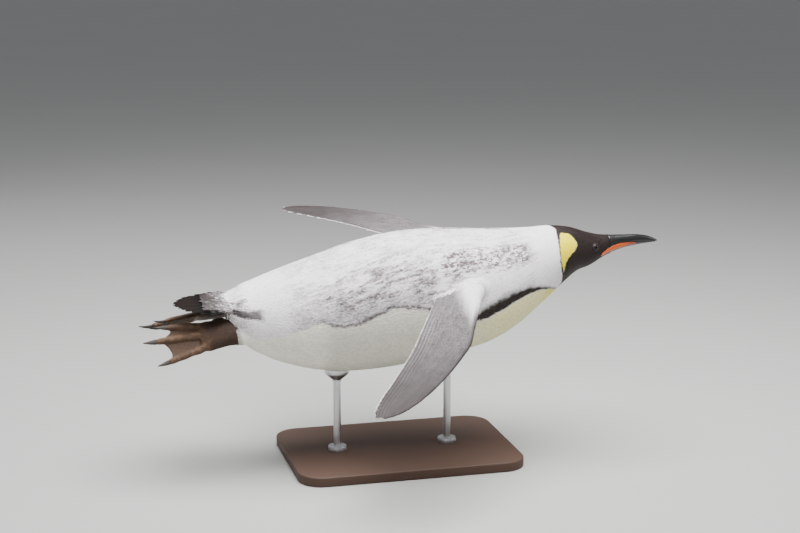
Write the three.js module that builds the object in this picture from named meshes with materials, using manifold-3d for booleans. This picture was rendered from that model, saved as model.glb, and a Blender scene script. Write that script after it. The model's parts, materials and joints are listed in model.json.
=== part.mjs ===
// King penguin in its swimming stretch, life size, on a plain two-rod display stand.
// Units are millimetres, +Z is up. The origin is the middle of the stand's underside.
// The bird faces +X. Its solids are drawn in the bird's own frame (x to the bill, y to its left, z to its
// back, origin on the body's axis at the widest girth), then banked, pitched and lifted onto the stand.
import * as THREE from "three";
import { mergeVertices } from "three/addons/utils/BufferGeometryUtils.js";
import Module from "manifold-3d";

const wasm = await Module();
wasm.setup();

// ---------------------------------------------------------------- driving dimensions
const GAP = 0.3; // clearance between neighbouring solids
const BANK = THREE.MathUtils.degToRad(18.5); // the right flipper dips
const NOSE_UP = THREE.MathUtils.degToRad(6.6);
const BODY_HEIGHT = 300; // girth centre above the floor

// The body's outline from vent to bill root: heights of the back and belly lines, and half the width.
const BODY_STATIONS = [
  { place: "rump end", x: -320, back: 60, belly: 18, half: 26 },
  { place: "vent", x: -300, back: 74, belly: -20, half: 52 },
  { place: "thigh", x: -257, back: 82, belly: -61, half: 75 },
  { place: "hip", x: -204, back: 90, belly: -90, half: 94 },
  { place: "loin", x: -143, back: 101, belly: -110, half: 110 },
  { place: "flank", x: -76, back: 114, belly: -119, half: 121 },
  { place: "girth", x: 0, back: 121, belly: -121, half: 124 },
  { place: "shoulder", x: 105, back: 113, belly: -115, half: 118 },
  { place: "breast", x: 162, back: 103, belly: -106, half: 108 },
  { place: "neck root", x: 210, back: 97, belly: -87, half: 93 },
  { place: "neck", x: 261, back: 92, belly: -54, half: 73 },
  { place: "nape", x: 307, back: 90, belly: -20, half: 56 },
  { place: "cheek", x: 338, back: 83, belly: -1, half: 43 },
  { place: "brow", x: 368, back: 69, belly: 5, half: 33 },
  { place: "gape", x: 391, back: 60.5, belly: 14, half: 23 },
  { place: "bill root", x: 414, back: 56, belly: 21, half: 15 },
  { place: "mid bill", x: 440, back: 52, belly: 26, half: 11 },
  { place: "bill bend", x: 475, back: 46, belly: 27, half: 7.5 },
  { place: "bill hook", x: 496, back: 38, belly: 26, half: 4.6 },
  { place: "bill tip", x: 509, back: 29.5, belly: 25.5, half: 1.6 },
];
const NECK_START = 190; // where the trunk's solid ends and the neck's begins
const HEAD_START = 300;
const FEATHER_EDGE = 412; // where the face feathers give way to the bill
const BODY_SIDES = 32;

// Mouth line between the two halves of the bill.
const MOUTH_STATIONS = [
  { x: 385, height: 43.5 },
  { x: 400, height: 45 },
  { x: 414, height: 44.5 },
  { x: 440, height: 42 },
  { x: 463, height: 38 },
  { x: 485, height: 33 },
  { x: 509, height: 27.4 },
];
const LOWER_BILL_END = 505;
const PLATE = {
  start: 388,
  end: 464,
  height: 18,
  tipHeight: 5,
  rearDrop: 6,
  rearShare: 0.16,
  thick: 1.8,
  proud: 0.7,
};

const EYE = { x: 374, angle: THREE.MathUtils.degToRad(60), radius: 9, sunk: 6.4 };

// Flipper: its joint, span and set, then how far the two edges lie from the span line.
const WING = {
  joint: [90.8, 108.2, 52.6],
  span: 339.4,
  sweep: THREE.MathUtils.degToRad(29.8),
  droop: THREE.MathUtils.degToRad(7.7),
  twist: THREE.MathUtils.degToRad(7.3), // leading edge down
  tipCurve: 53, // how far the tip bends back
  sides: 16,
  fullness: 0.62, // of the section, against a full ellipse of its thickness
  thinning: 0.62, // how much thinner the rear of the section is than its front
};
const WING_STATIONS = [
  { s: -0.11, lead: 34, trail: 36, thick: 26 },
  { s: 0, lead: 36, trail: 44, thick: 23 },
  { s: 0.12, lead: 39, trail: 46, thick: 18 },
  { s: 0.25, lead: 44, trail: 45, thick: 15.5 },
  { s: 0.35, lead: 49, trail: 44, thick: 14.5 },
  { s: 0.47, lead: 46, trail: 41, thick: 12.5 },
  { s: 0.62, lead: 40, trail: 40, thick: 10 },
  { s: 0.76, lead: 32, trail: 38.5, thick: 8 },
  { s: 0.87, lead: 22, trail: 37, thick: 6.5 },
  { s: 0.94, lead: 11, trail: 33, thick: 5.5 },
  { s: 0.98, lead: 0, trail: 27, thick: 4.5 },
  { s: 1.0, lead: -8, trail: 21, thick: 3.2 },
];

// Tail: a short stiff wedge of feathers, the outer ones a little lower.
const TAIL_SAG = 0.0035; // per millimetre, growing with the square of the distance from the middle
const TAIL_STATIONS = [
  { x: -298, centre: 54, half: 40, thick: 15 },
  { x: -318, centre: 57, half: 41, thick: 12 },
  { x: -342, centre: 60, half: 37, thick: 8 },
  { x: -368, centre: 63, half: 30, thick: 5 },
  { x: -390, centre: 65, half: 21, thick: 3 },
  { x: -406, centre: 66, half: 6, thick: 1.6 },
];

// Hind limb, drawn for the left side. Local axes: back along the foot, in towards the other foot, and
// out of the sole, which faces up and outwards.
const ANKLE = [-300, 38, 15];
const FOOT_TILT = THREE.MathUtils.degToRad(41);
const FOOT_TURN = THREE.MathUtils.degToRad(2); // toes lean in
const FOOT_DIP = THREE.MathUtils.degToRad(3); // toes lean down
const THIGH = { centre: [-300, 46, -14], radii: [70, 42, 56] };
const TARSUS_STATIONS = [
  { u: -48, half: 38, thick: 26 },
  { u: -20, half: 34, thick: 20 },
  { u: 0, half: 28, thick: 15 },
  { u: 22, half: 24.5, thick: 13 },
  { u: 44, half: 26, thick: 11 },
  { u: 62, half: 27, thick: 8.5 },
  { u: 72, half: 22, thick: 5 },
];
const SHANK_START = TARSUS_STATIONS[0].u;
const TARSUS_END = TARSUS_STATIONS.at(-1).u;
const TOES = [
  { name: "inner", root: [50, 18], end: [126, 30], radius: 7.6, tip: 5.2, claw: 19, joints: 2 },
  { name: "middle", root: [50, 3], end: [149, 8], radius: 8.4, tip: 5.6, claw: 22, joints: 3 },
  { name: "outer", root: [50, -16], end: [134, -33], radius: 7.8, tip: 5.2, claw: 20, joints: 3 },
];
const TOE_SIDES = 7;
const KNUCKLE_RISE = 0.9;
const CLAW_BEND = 5; // how far a claw's point leaves the toe's line
const HIND_TOE = { at: [34, 25, -3], radii: [13, 6, 6] };
const WEB_THICK = 2.6;
const WEB_NOTCH = 9; // how far the web's edge is cut back between two toes

// Display stand.
const BASE = { length: 420, width: 300, thick: 18, corner: 45, bevel: 2.5 };
const ROD_RADIUS = 7;
const RODS = [
  { name: "front", x: 95, cupFoot: 176 },
  { name: "rear", x: -115, cupFoot: 150 },
];
const COLLAR = { radius: 17, height: 9, bevel: 2 };
const CUP = { footRadius: 8.5, footHeight: 3, rimRadius: 23, rimHeight: 16, height: 34 };

// ---------------------------------------------------------------- materials
const skins = {
  black_feather: { color: 0x17171a, roughness: 0.65, metalness: 0 },
  silver_feather: { color: 0xb9b8c0, roughness: 0.7, metalness: 0 },
  neck_feather: { color: 0xc9c8cc, roughness: 0.7, metalness: 0 },
  bill_horn: { color: 0x141214, roughness: 0.3, metalness: 0 },
  bill_orange: { color: 0xe8702c, roughness: 0.35, metalness: 0 },
  eye_gloss: { color: 0x1c100a, roughness: 0.08, metalness: 0 },
  foot_leather: { color: 0x7d6247, roughness: 0.6, metalness: 0 },
  claw_horn: { color: 0x2a2420, roughness: 0.4, metalness: 0 },
  walnut: { color: 0x3a2417, roughness: 0.45, metalness: 0 },
  steel: { color: 0xb5b7ba, roughness: 0.3, metalness: 1 },
};
const materialOf = (name) => new THREE.MeshStandardMaterial({ name, ...skins[name] });

// ---------------------------------------------------------------- geometry helpers
// Smooth value between the rows of a station table: a cubic through the rows, with each row's slope
// weighted by the distance to its neighbours.
function between(rows, along, key, x) {
  const last = rows.length - 1;
  const rising = rows[last][along] > rows[0][along];
  const at = (i) => (rising ? rows[i][along] : -rows[i][along]);
  const place = rising ? x : -x;
  let i = 0;
  while (i < last - 1 && place > at(i + 1)) i += 1;
  const pace = (j) => (rows[j + 1][key] - rows[j][key]) / (at(j + 1) - at(j));
  const slope = (j) => {
    if (j === 0) return pace(0);
    if (j === last) return pace(last - 1);
    const before = at(j) - at(j - 1);
    const after = at(j + 1) - at(j);
    return (pace(j - 1) * after + pace(j) * before) / (before + after);
  };
  const run = at(i + 1) - at(i);
  const t = THREE.MathUtils.clamp((place - at(i)) / run, 0, 1);
  const t2 = t * t;
  const t3 = t2 * t;
  return (
    (2 * t3 - 3 * t2 + 1) * rows[i][key] +
    (t3 - 2 * t2 + t) * run * slope(i) +
    (3 * t2 - 2 * t3) * rows[i + 1][key] +
    (t3 - t2) * run * slope(i + 1)
  );
}

const steps = (from, to, count) =>
  Array.from({ length: count + 1 }, (_, i) => from + ((to - from) * i) / count);
const around = (sides) => steps(0, 2 * Math.PI, sides).slice(0, sides);

// A closed skin over rings of points, each end closed by a fan from the ring's middle.
function loft(rings) {
  const count = rings[0].length;
  const positions = rings.flat().flatMap((p) => [p.x, p.y, p.z]);
  const faces = [];
  for (let r = 0; r < rings.length - 1; r += 1) {
    for (let k = 0; k < count; k += 1) {
      const a = r * count + k;
      const b = r * count + ((k + 1) % count);
      faces.push(a, b, b + count, a, b + count, a + count);
    }
  }
  for (const r of [0, rings.length - 1]) {
    const middle = new THREE.Vector3();
    rings[r].forEach((p) => middle.addScaledVector(p, 1 / count));
    const hub = positions.length / 3;
    positions.push(middle.x, middle.y, middle.z);
    for (let k = 0; k < count; k += 1) {
      const a = r * count + k;
      const b = r * count + ((k + 1) % count);
      faces.push(hub, ...(r === 0 ? [b, a] : [a, b]));
    }
  }
  const geometry = new THREE.BufferGeometry();
  geometry.setAttribute("position", new THREE.Float32BufferAttribute(positions, 3));
  geometry.setIndex(faces);
  return outward(geometry);
}

// Turns a closed geometry's faces outwards if they point in.
function outward(geometry) {
  const p = geometry.getAttribute("position");
  const index = geometry.index.array;
  const [a, b, c] = [new THREE.Vector3(), new THREE.Vector3(), new THREE.Vector3()];
  let volume = 0;
  for (let i = 0; i < index.length; i += 3) {
    a.fromBufferAttribute(p, index[i]);
    b.fromBufferAttribute(p, index[i + 1]);
    c.fromBufferAttribute(p, index[i + 2]);
    volume += a.dot(b.cross(c));
  }
  if (volume < 0) {
    for (let i = 0; i < index.length; i += 3) [index[i + 1], index[i + 2]] = [index[i + 2], index[i + 1]];
  }
  return geometry;
}

function toSolid(geometry) {
  const bare = geometry.clone();
  bare.deleteAttribute("normal");
  bare.deleteAttribute("uv");
  const merged = mergeVertices(bare, 1e-3);
  return new wasm.Manifold(
    new wasm.Mesh({
      numProp: 3,
      vertProperties: merged.getAttribute("position").array,
      triVerts: new Uint32Array(merged.index.array),
    }),
  );
}

function toGeometry(solid) {
  const mesh = solid.getMesh();
  const geometry = new THREE.BufferGeometry();
  geometry.setAttribute("position", new THREE.Float32BufferAttribute(mesh.vertProperties, 3));
  geometry.setIndex(Array.from(mesh.triVerts));
  geometry.computeVertexNormals();
  return geometry;
}

const join = (...shapes) => toGeometry(shapes.map(toSolid).reduce((a, b) => a.add(b)));
const cut = (shape, ...tools) =>
  toGeometry(tools.map(toSolid).reduce((a, b) => a.subtract(b), toSolid(shape)));
const overlap = (shape, other) => toGeometry(toSolid(shape).intersect(toSolid(other)));

// The same shape on the bird's other side.
function mirrored(geometry) {
  const copy = geometry.clone();
  copy.scale(1, -1, 1);
  const index = copy.index.array;
  for (let i = 0; i < index.length; i += 3) [index[i + 1], index[i + 2]] = [index[i + 2], index[i + 1]];
  copy.computeVertexNormals();
  return copy;
}

// ---------------------------------------------------------------- body
const bodyAt = (x) => ({
  back: between(BODY_STATIONS, "x", "back", x),
  belly: between(BODY_STATIONS, "x", "belly", x),
  half: between(BODY_STATIONS, "x", "half", x),
});

// A point of the body's surface; angle 0 is the back and a quarter turn is the left flank.
function bodyPoint(x, angle, grow = 0) {
  const { back, belly, half } = bodyAt(x);
  const middle = (back + belly) / 2;
  const tall = (back - belly) / 2;
  return new THREE.Vector3(x, (half + grow) * Math.sin(angle), middle + (tall + grow) * Math.cos(angle));
}

function bodyLength(from, to, count, grow = 0, sides = BODY_SIDES) {
  const ring = (x) => around(sides).map((angle) => bodyPoint(x, angle, grow));
  return loft(steps(from, to, count).map(ring));
}

function ellipsoid(centre, radii, grow = 0) {
  const ball = new THREE.SphereGeometry(1, 14, 8);
  ball.scale(radii[0] + grow, radii[1] + grow, radii[2] + grow);
  ball.translate(...centre);
  return ball;
}

// ---------------------------------------------------------------- hind limbs (left)
const footAxes = (() => {
  const back = new THREE.Vector3(-Math.cos(FOOT_TURN), -Math.sin(FOOT_TURN), -Math.sin(FOOT_DIP));
  back.normalize();
  const inward = new THREE.Vector3(0, -Math.cos(FOOT_TILT), Math.sin(FOOT_TILT));
  inward.addScaledVector(back, -inward.dot(back)).normalize();
  const sole = new THREE.Vector3().crossVectors(inward, back);
  return { back, inward, sole: sole.z < 0 ? sole.negate() : sole };
})();

function footPoint(u, v, w) {
  return new THREE.Vector3(...ANKLE)
    .addScaledVector(footAxes.back, u)
    .addScaledVector(footAxes.inward, v)
    .addScaledVector(footAxes.sole, w);
}

function tarsus(from, to, count, grow = 0) {
  const ring = (u) => {
    const half = between(TARSUS_STATIONS, "u", "half", u) + grow;
    const thick = between(TARSUS_STATIONS, "u", "thick", u) + grow;
    return around(12).map((a) => footPoint(u, half * Math.cos(a), thick * Math.sin(a)));
  };
  return loft(steps(from, to, count).map(ring));
}

// A point beside a toe's line: how far along it, how far inward of it and how far out of the sole.
function besideToe({ root, end }, along, inward, sole) {
  const line = new THREE.Vector2(end[0] - root[0], end[1] - root[1]);
  const aim = line.clone().normalize();
  const u = root[0] + aim.x * along - aim.y * inward;
  const v = root[1] + aim.y * along + aim.x * inward;
  return footPoint(u, v, sole);
}

const toeLength = ({ root, end }) => Math.hypot(end[0] - root[0], end[1] - root[1]);

// A ring round the toe's line, a little flatter than it is wide.
const toeRing = (shape, along, r, lift) =>
  around(TOE_SIDES).map((a) => besideToe(shape, along, r * Math.cos(a), lift + 0.82 * r * Math.sin(a)));

// A toe tapers from knuckle to knuckle and ends flat where its claw begins.
function toe(shape) {
  const ring = (t) => {
    const knuckle = KNUCKLE_RISE * Math.cos(2 * Math.PI * shape.joints * t) * (1 - t * t);
    const r = THREE.MathUtils.lerp(shape.radius, shape.tip, t) + knuckle;
    return toeRing(shape, toeLength(shape) * t, r, 0);
  };
  return loft(steps(0, 1, 5).map(ring));
}

// A claw bends gently to the sole's side and narrows to a blunt point.
function claw(shape) {
  const ring = (t) => {
    const r = (shape.tip - 0.7) * (1 - 0.86 * t ** 1.4);
    return toeRing(shape, toeLength(shape) + GAP + shape.claw * t, r, CLAW_BEND * t * t);
  };
  return loft(steps(0, 1, 4).map(ring));
}

// Skin between two neighbouring toes, with a hollow free edge.
function web(first, second) {
  const corner = ({ end }) => new THREE.Vector2(end[0] - 6, end[1]);
  const hollow = corner(first).add(corner(second)).divideScalar(2);
  hollow.x -= 2 * WEB_NOTCH;
  const edge = new THREE.QuadraticBezierCurve(corner(first), hollow, corner(second)).getPoints(4);
  const outline = [new THREE.Vector2(...first.root), ...edge, new THREE.Vector2(...second.root)];
  const face = (w) => outline.map((p) => footPoint(p.x, p.y, w));
  return loft([face(-WEB_THICK / 2), face(WEB_THICK / 2)]);
}

function hindToe() {
  const { at, radii } = HIND_TOE;
  return ellipsoid(footPoint(...at).toArray(), radii);
}

function foot() {
  const [inner, middle, outer] = TOES;
  const sole = tarsus(GAP, TARSUS_END, 5);
  return join(sole, ...TOES.map((t) => toe(t)), web(inner, middle), web(middle, outer), hindToe());
}

// The feathered length above the ankle; a grown one runs on past it, to cut what it meets.
const shank = (grow = 0) => tarsus(SHANK_START, grow, 3, grow);

// ---------------------------------------------------------------- flipper (left)
const wingAxes = (() => {
  const { sweep, droop, twist } = WING;
  const span = new THREE.Vector3(
    -Math.sin(sweep) * Math.cos(droop),
    Math.cos(sweep) * Math.cos(droop),
    -Math.sin(droop),
  );
  const level = new THREE.Vector3(Math.cos(sweep), Math.sin(sweep), 0);
  const up = new THREE.Vector3().crossVectors(level, span).normalize();
  const across = new THREE.Vector3().crossVectors(span, up);
  const chord = across.multiplyScalar(Math.cos(twist)).addScaledVector(up, -Math.sin(twist));
  return { span, chord, up: new THREE.Vector3().crossVectors(chord, span) };
})();

// A point of the flipper: s along the span, c forward from the span line, h above the flipper's plane.
function wingPoint(s, c, h) {
  const bend = WING.tipCurve * Math.max(s, 0) ** 2;
  return new THREE.Vector3(...WING.joint)
    .addScaledVector(wingAxes.span, s * WING.span)
    .addScaledVector(wingAxes.chord, c - bend)
    .addScaledVector(wingAxes.up, h);
}

// Round leading edge, thickest at a third of the chord, thin trailing edge.
function wingRing(s) {
  const lead = between(WING_STATIONS, "s", "lead", s);
  const trail = between(WING_STATIONS, "s", "trail", s);
  const thick = between(WING_STATIONS, "s", "thick", s);
  return around(WING.sides).map((a) => {
    const back = (1 - Math.cos(a)) / 2; // 0 at the leading edge, 1 at the trailing edge
    const h = thick * WING.fullness * Math.sin(a) * (1 - WING.thinning * back);
    return wingPoint(s, lead - back * (lead + trail), h);
  });
}

function wing() {
  const rings = WING_STATIONS.flatMap(({ s }, i, rows) => {
    const next = rows[i + 1];
    return next && next.s - s > 0.1 ? [wingRing(s), wingRing((s + next.s) / 2)] : [wingRing(s)];
  });
  return loft(rings);
}

// ---------------------------------------------------------------- tail, bill and eyes
function tail() {
  const ring = ({ x, centre, half, thick }) =>
    around(14).map((a) => {
      const side = half * Math.cos(a);
      return new THREE.Vector3(x, side, centre - TAIL_SAG * side * side + thick * Math.sin(a));
    });
  const rows = TAIL_STATIONS.flatMap((row, i) => {
    const next = TAIL_STATIONS[i + 1];
    if (!next) return [row];
    const half = (key) => (row[key] + next[key]) / 2;
    return [row, { x: half("x"), centre: half("centre"), half: half("half"), thick: half("thick") }];
  });
  return loft(rows.map(ring));
}

const mouthAt = (x) => between(MOUTH_STATIONS, "x", "height", x);

// One half of the bill: an arc of the body's section closed along the mouth line.
function billHalf(to, upper) {
  const sides = 9;
  const ring = (x) => {
    const { back, belly, half } = bodyAt(x);
    const middle = (back + belly) / 2;
    const tall = (back - belly) / 2;
    const mouth = mouthAt(x) + (upper ? GAP / 2 : -GAP / 2);
    const rim = Math.acos(THREE.MathUtils.clamp((mouth - middle) / tall, -0.96, 0.96));
    const [from, until] = upper ? [-rim, rim] : [rim, 2 * Math.PI - rim];
    return steps(from, until, sides).map(
      (a) => new THREE.Vector3(x, half * Math.sin(a), middle + tall * Math.cos(a)),
    );
  };
  return loft(steps(FEATHER_EDGE + GAP, to, 8).map(ring));
}

// The coloured plate on the side of the lower bill, a thin shell that follows the bill's surface. Its
// upper edge runs along the mouth and rounds down at the rear.
function billPlate(grow = 0) {
  const [columns, rows] = [8, 2];
  const { start, end, height, tipHeight, thick, proud, rearDrop, rearShare } = PLATE;
  const point = (i, j, outer) => {
    const t = i / columns;
    const x = THREE.MathUtils.lerp(start - grow, end + grow, t);
    const rear = Math.max(0, 1 - t / rearShare);
    const top = mouthAt(x) - 0.8 - rearDrop * rear * rear + grow;
    const low = mouthAt(x) - THREE.MathUtils.lerp(height, tipHeight, t) - grow;
    const z = THREE.MathUtils.lerp(top, low, j / rows);
    const { back, belly, half } = bodyAt(x);
    const middle = (back + belly) / 2;
    const reach = (back - belly) / 2;
    const angle = Math.acos(THREE.MathUtils.clamp((z - middle) / reach, -0.97, 0.97));
    const off = outer ? proud + grow : proud - thick - grow;
    return new THREE.Vector3(x, (half + off) * Math.sin(angle), middle + (reach + off) * Math.cos(angle));
  };
  const ring = (i) => [
    ...steps(0, rows, rows).map((j) => point(i, j, true)),
    ...steps(rows, 0, rows).map((j) => point(i, j, false)),
  ];
  return loft(steps(0, columns, columns).map(ring));
}

function eyeBall(grow = 0) {
  const { x, angle, radius, sunk } = EYE;
  const surface = bodyPoint(x, angle);
  const inner = bodyPoint(x, angle, -sunk);
  const ball = new THREE.SphereGeometry(radius + grow, 11, 7);
  ball.rotateX(Math.PI / 2 - angle);
  ball.translate(surface.x, inner.y, inner.z);
  return ball;
}

// ---------------------------------------------------------------- stand
function standBase() {
  const { length, width, thick, corner, bevel } = BASE;
  const [x, y, r] = [length / 2 - bevel, width / 2 - bevel, corner - bevel];
  const outline = new THREE.Shape();
  outline.absarc(x - r, y - r, r, 0, Math.PI / 2);
  outline.absarc(r - x, y - r, r, Math.PI / 2, Math.PI);
  outline.absarc(r - x, r - y, r, Math.PI, 1.5 * Math.PI);
  outline.absarc(x - r, r - y, r, 1.5 * Math.PI, 2 * Math.PI);
  const plate = new THREE.ExtrudeGeometry(outline, {
    depth: thick - 2 * bevel,
    bevelThickness: bevel,
    bevelSize: bevel,
    bevelSegments: 1,
    curveSegments: 3,
  });
  plate.translate(0, 0, bevel);
  return plate;
}

const turned = (profile, x, z, sides = 14) => {
  const lathe = new THREE.LatheGeometry(profile.map(([r, h]) => new THREE.Vector2(r, h)), sides);
  lathe.rotateX(Math.PI / 2);
  lathe.translate(x, 0, z);
  return lathe;
};

const standRod = ({ x, cupFoot }) =>
  turned([[0, BASE.thick], [ROD_RADIUS, BASE.thick], [ROD_RADIUS, cupFoot], [0, cupFoot]], x, 0);

function standCollar({ x }) {
  const { radius, height, bevel } = COLLAR;
  const bore = ROD_RADIUS + GAP;
  return turned(
    [[bore, 0], [radius, 0], [radius, height - bevel], [radius - bevel, height], [bore, height], [bore, 0]],
    x,
    BASE.thick,
  );
}

// A cup under the belly; its top takes the belly's own curve.
function standCup({ x, cupFoot }, belly) {
  const { footRadius, footHeight, rimRadius, rimHeight, height } = CUP;
  const foot = [[0, 0], [footRadius, 0], [footRadius, footHeight]];
  const rim = [[rimRadius, rimHeight], [rimRadius, height], [0, height]];
  return cut(turned([...foot, ...rim], x, cupFoot), belly);
}

// ---------------------------------------------------------------- assembly
const part = new THREE.Group();
const bird = new THREE.Group();
bird.position.set(0, 0, BODY_HEIGHT);
bird.rotation.set(BANK, -NOSE_UP, 0, "ZYX");
part.add(bird);
part.updateMatrixWorld(true);

function add(group, name, geometry, skin) {
  const mesh = new THREE.Mesh(geometry, materialOf(skin));
  mesh.name = name;
  group.add(mesh);
}

function addPair(name, left, skin) {
  add(bird, `${name}_left`, left, skin);
  add(bird, `${name}_right`, mirrored(left), skin);
}

const bodyStart = BODY_STATIONS[0].x;
const wholeTrunk = bodyLength(bodyStart, NECK_START, 18);
const grownTrunk = bodyLength(bodyStart, NECK_START, 18, GAP);
const thigh = (grow = 0) => ellipsoid(THIGH.centre, THIGH.radii, grow);

// The rear of the body with both shanks is one shape, parted into trunk and two thighs by thin cuts.
const rear = join(wholeTrunk, shank(), mirrored(shank()));
const leg = overlap(rear, thigh());
const trunk = cut(rear, thigh(GAP), mirrored(thigh(GAP)));
const hindBlock = tarsus(0, TARSUS_END, 5, GAP);

add(bird, "trunk", cut(trunk, hindBlock, mirrored(hindBlock)), "silver_feather");
add(bird, "neck", bodyLength(NECK_START + GAP, HEAD_START - GAP, 4), "neck_feather");
addPair("leg", cut(leg, hindBlock), "silver_feather");
addPair("foot", foot(), "foot_leather");
for (const each of TOES) addPair(`claw_${each.name}`, claw(each), "claw_horn");

const tailCut = [grownTrunk, shank(GAP), mirrored(shank(GAP)), hindBlock, mirrored(hindBlock)];
add(bird, "tail", cut(tail(), ...tailCut), "black_feather");
addPair("wing", cut(wing(), grownTrunk), "silver_feather");

const bothPlates = [billPlate(GAP), mirrored(billPlate(GAP))];
const bothEyes = [eyeBall(GAP), mirrored(eyeBall(GAP))];
const wholeHead = bodyLength(HEAD_START, FEATHER_EDGE, 10, 0, 24);
add(bird, "head", cut(wholeHead, ...bothPlates, ...bothEyes), "black_feather");
add(bird, "bill_upper", billHalf(BODY_STATIONS.at(-1).x, true), "bill_horn");
add(bird, "bill_lower", cut(billHalf(LOWER_BILL_END, false), ...bothPlates), "bill_horn");
addPair("bill_plate", billPlate(), "bill_orange");
addPair("eye", eyeBall(), "eye_gloss");

const belly = grownTrunk.clone().applyMatrix4(bird.matrixWorld);
add(part, "stand_base", standBase(), "walnut");
for (const rod of RODS) {
  add(part, `stand_rod_${rod.name}`, standRod(rod), "steel");
  add(part, `stand_collar_${rod.name}`, standCollar(rod), "steel");
  add(part, `stand_cup_${rod.name}`, standCup(rod, belly), "steel");
}

export default part;
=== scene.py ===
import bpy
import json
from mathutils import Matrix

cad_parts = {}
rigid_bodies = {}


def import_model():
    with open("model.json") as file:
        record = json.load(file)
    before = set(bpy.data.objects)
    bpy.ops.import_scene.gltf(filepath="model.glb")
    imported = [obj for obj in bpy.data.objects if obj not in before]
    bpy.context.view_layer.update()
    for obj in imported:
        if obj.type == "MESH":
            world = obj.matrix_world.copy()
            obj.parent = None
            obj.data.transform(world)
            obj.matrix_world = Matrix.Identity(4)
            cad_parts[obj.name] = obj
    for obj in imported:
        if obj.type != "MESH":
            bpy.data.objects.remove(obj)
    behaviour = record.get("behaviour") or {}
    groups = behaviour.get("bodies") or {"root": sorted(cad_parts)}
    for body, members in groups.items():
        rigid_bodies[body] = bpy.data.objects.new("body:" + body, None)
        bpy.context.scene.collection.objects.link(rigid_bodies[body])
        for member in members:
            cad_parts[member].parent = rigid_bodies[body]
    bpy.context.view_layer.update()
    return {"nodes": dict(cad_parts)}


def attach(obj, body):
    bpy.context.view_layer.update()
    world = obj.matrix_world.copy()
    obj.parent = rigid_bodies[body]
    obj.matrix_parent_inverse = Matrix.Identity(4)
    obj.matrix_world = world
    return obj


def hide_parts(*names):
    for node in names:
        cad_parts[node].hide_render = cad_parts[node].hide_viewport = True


bl_info = {
    "name": "King Penguin Model",
    "version": (1, 0, 0),
    "blender": (4, 5, 0),
    "location": "View3D > Sidebar > Penguin",
    "description": "A life-size swimming king penguin on a two-rod display stand",
    "category": "Object",
}

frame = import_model()

import json
import math

import bmesh
import bpy
import numpy as np
from mathutils import Matrix, Vector
from mathutils.bvhtree import BVHTree
from mathutils.kdtree import KDTree

# ---- sizes shared with the solids
# The bird is drawn in millimetres in its own frame, x to the bill, y to its left and z to its back,
# with the origin on the body's axis at the widest girth. Everything that is made is in metres.
MM = 0.001
BANK = math.radians(18.5)
NOSE_UP = math.radians(6.6)
BODY_HEIGHT = 300.0

BODY = (  # x, back line, belly line, half width
    (-320, 60, 18, 26), (-300, 68.5, -20, 52), (-257, 79, -61, 75), (-204, 90, -90, 94),
    (-143, 101, -110, 110), (-76, 114, -119, 121), (0, 121, -121, 124), (105, 113, -115, 118),
    (162, 103, -106, 108), (210, 97, -87, 93), (261, 92, -54, 73), (307, 90, -20, 56),
    (338, 83, -1, 43), (368, 69, 5, 33), (391, 60.5, 14, 23), (414, 56, 21, 15),
    (440, 52, 26, 11), (475, 46, 27, 7.5), (496, 38, 26, 4.6), (509, 29.5, 25.5, 1.6),
)
RUMP_END, NECK_START, HEAD_START, FEATHER_EDGE = -320, 190, 300, 412
MOUTH = (  # x, height of the mouth line
    (385, 43.5), (400, 45), (414, 44.5), (440, 42), (463, 38), (485, 33), (509, 27.4),
)
LOWER_BILL_END = 505
PLATE_START, PLATE_END, PLATE_THICK, PLATE_PROUD = 388, 464, 1.8, 0.7
PLATE_HEIGHT, PLATE_TIP_HEIGHT, PLATE_REAR_DROP, PLATE_REAR_SHARE = 18, 5, 10.5, 0.62
EYE_X, EYE_ANGLE, EYE_RADIUS, EYE_SUNK = 374, math.radians(60), 9.0, 6.4
CORNEA_START, CORNEA_BULGE = 0.86, 0.25
LID_LONG, LID_TALL, LID_REACH = 5.3, 4.7, 11.4
LID_BARE, GAPE = 1.42, 386  # bare skin round the eye in lid sizes, and x where the mouth line starts

WING_JOINT, WING_SPAN = np.array((90.8, 108.2, 52.6)), 339.4
WING_SWEEP, WING_DROOP, WING_TWIST = math.radians(29.8), math.radians(7.7), math.radians(7.3)
WING_TIP_CURVE, WING_FULLNESS, WING_THINNING = 53, 0.62, 0.62
SHOULDER_RISE, SHOULDER_LEAD, ARMPIT_RISE = 7, 6, 6
WING = (  # share of the span, edge in front of the span line, edge behind it, thickness
    (-0.11, 34, 36, 26), (0, 36, 44, 23), (0.12, 39, 46, 18), (0.25, 44, 45, 15.5),
    (0.35, 49, 44, 14.5), (0.47, 46, 41, 12.5), (0.62, 40, 40, 10), (0.76, 32, 38.5, 8),
    (0.87, 22, 37, 6.5), (0.94, 11, 33, 5.5), (0.975, 1, 28.5, 4.5), (0.992, -6.5, 23.5, 3.6),
    (1.0, -13, 18, 2.8),
)
TAIL = (  # x, height of the middle, half width, half thickness
    (-298, 54, 40, 15), (-318, 57, 41, 12), (-342, 60, 37, 8),
    (-368, 63, 30, 5), (-390, 65, 21, 3), (-406, 66, 6, 1.6),
)
TAIL_SAG = 0.0035
TAIL_OUTLINE = ((0, -409), (6, -407), (21, -392), (30, -371), (37, -347))  # distance from the middle, x

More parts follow.
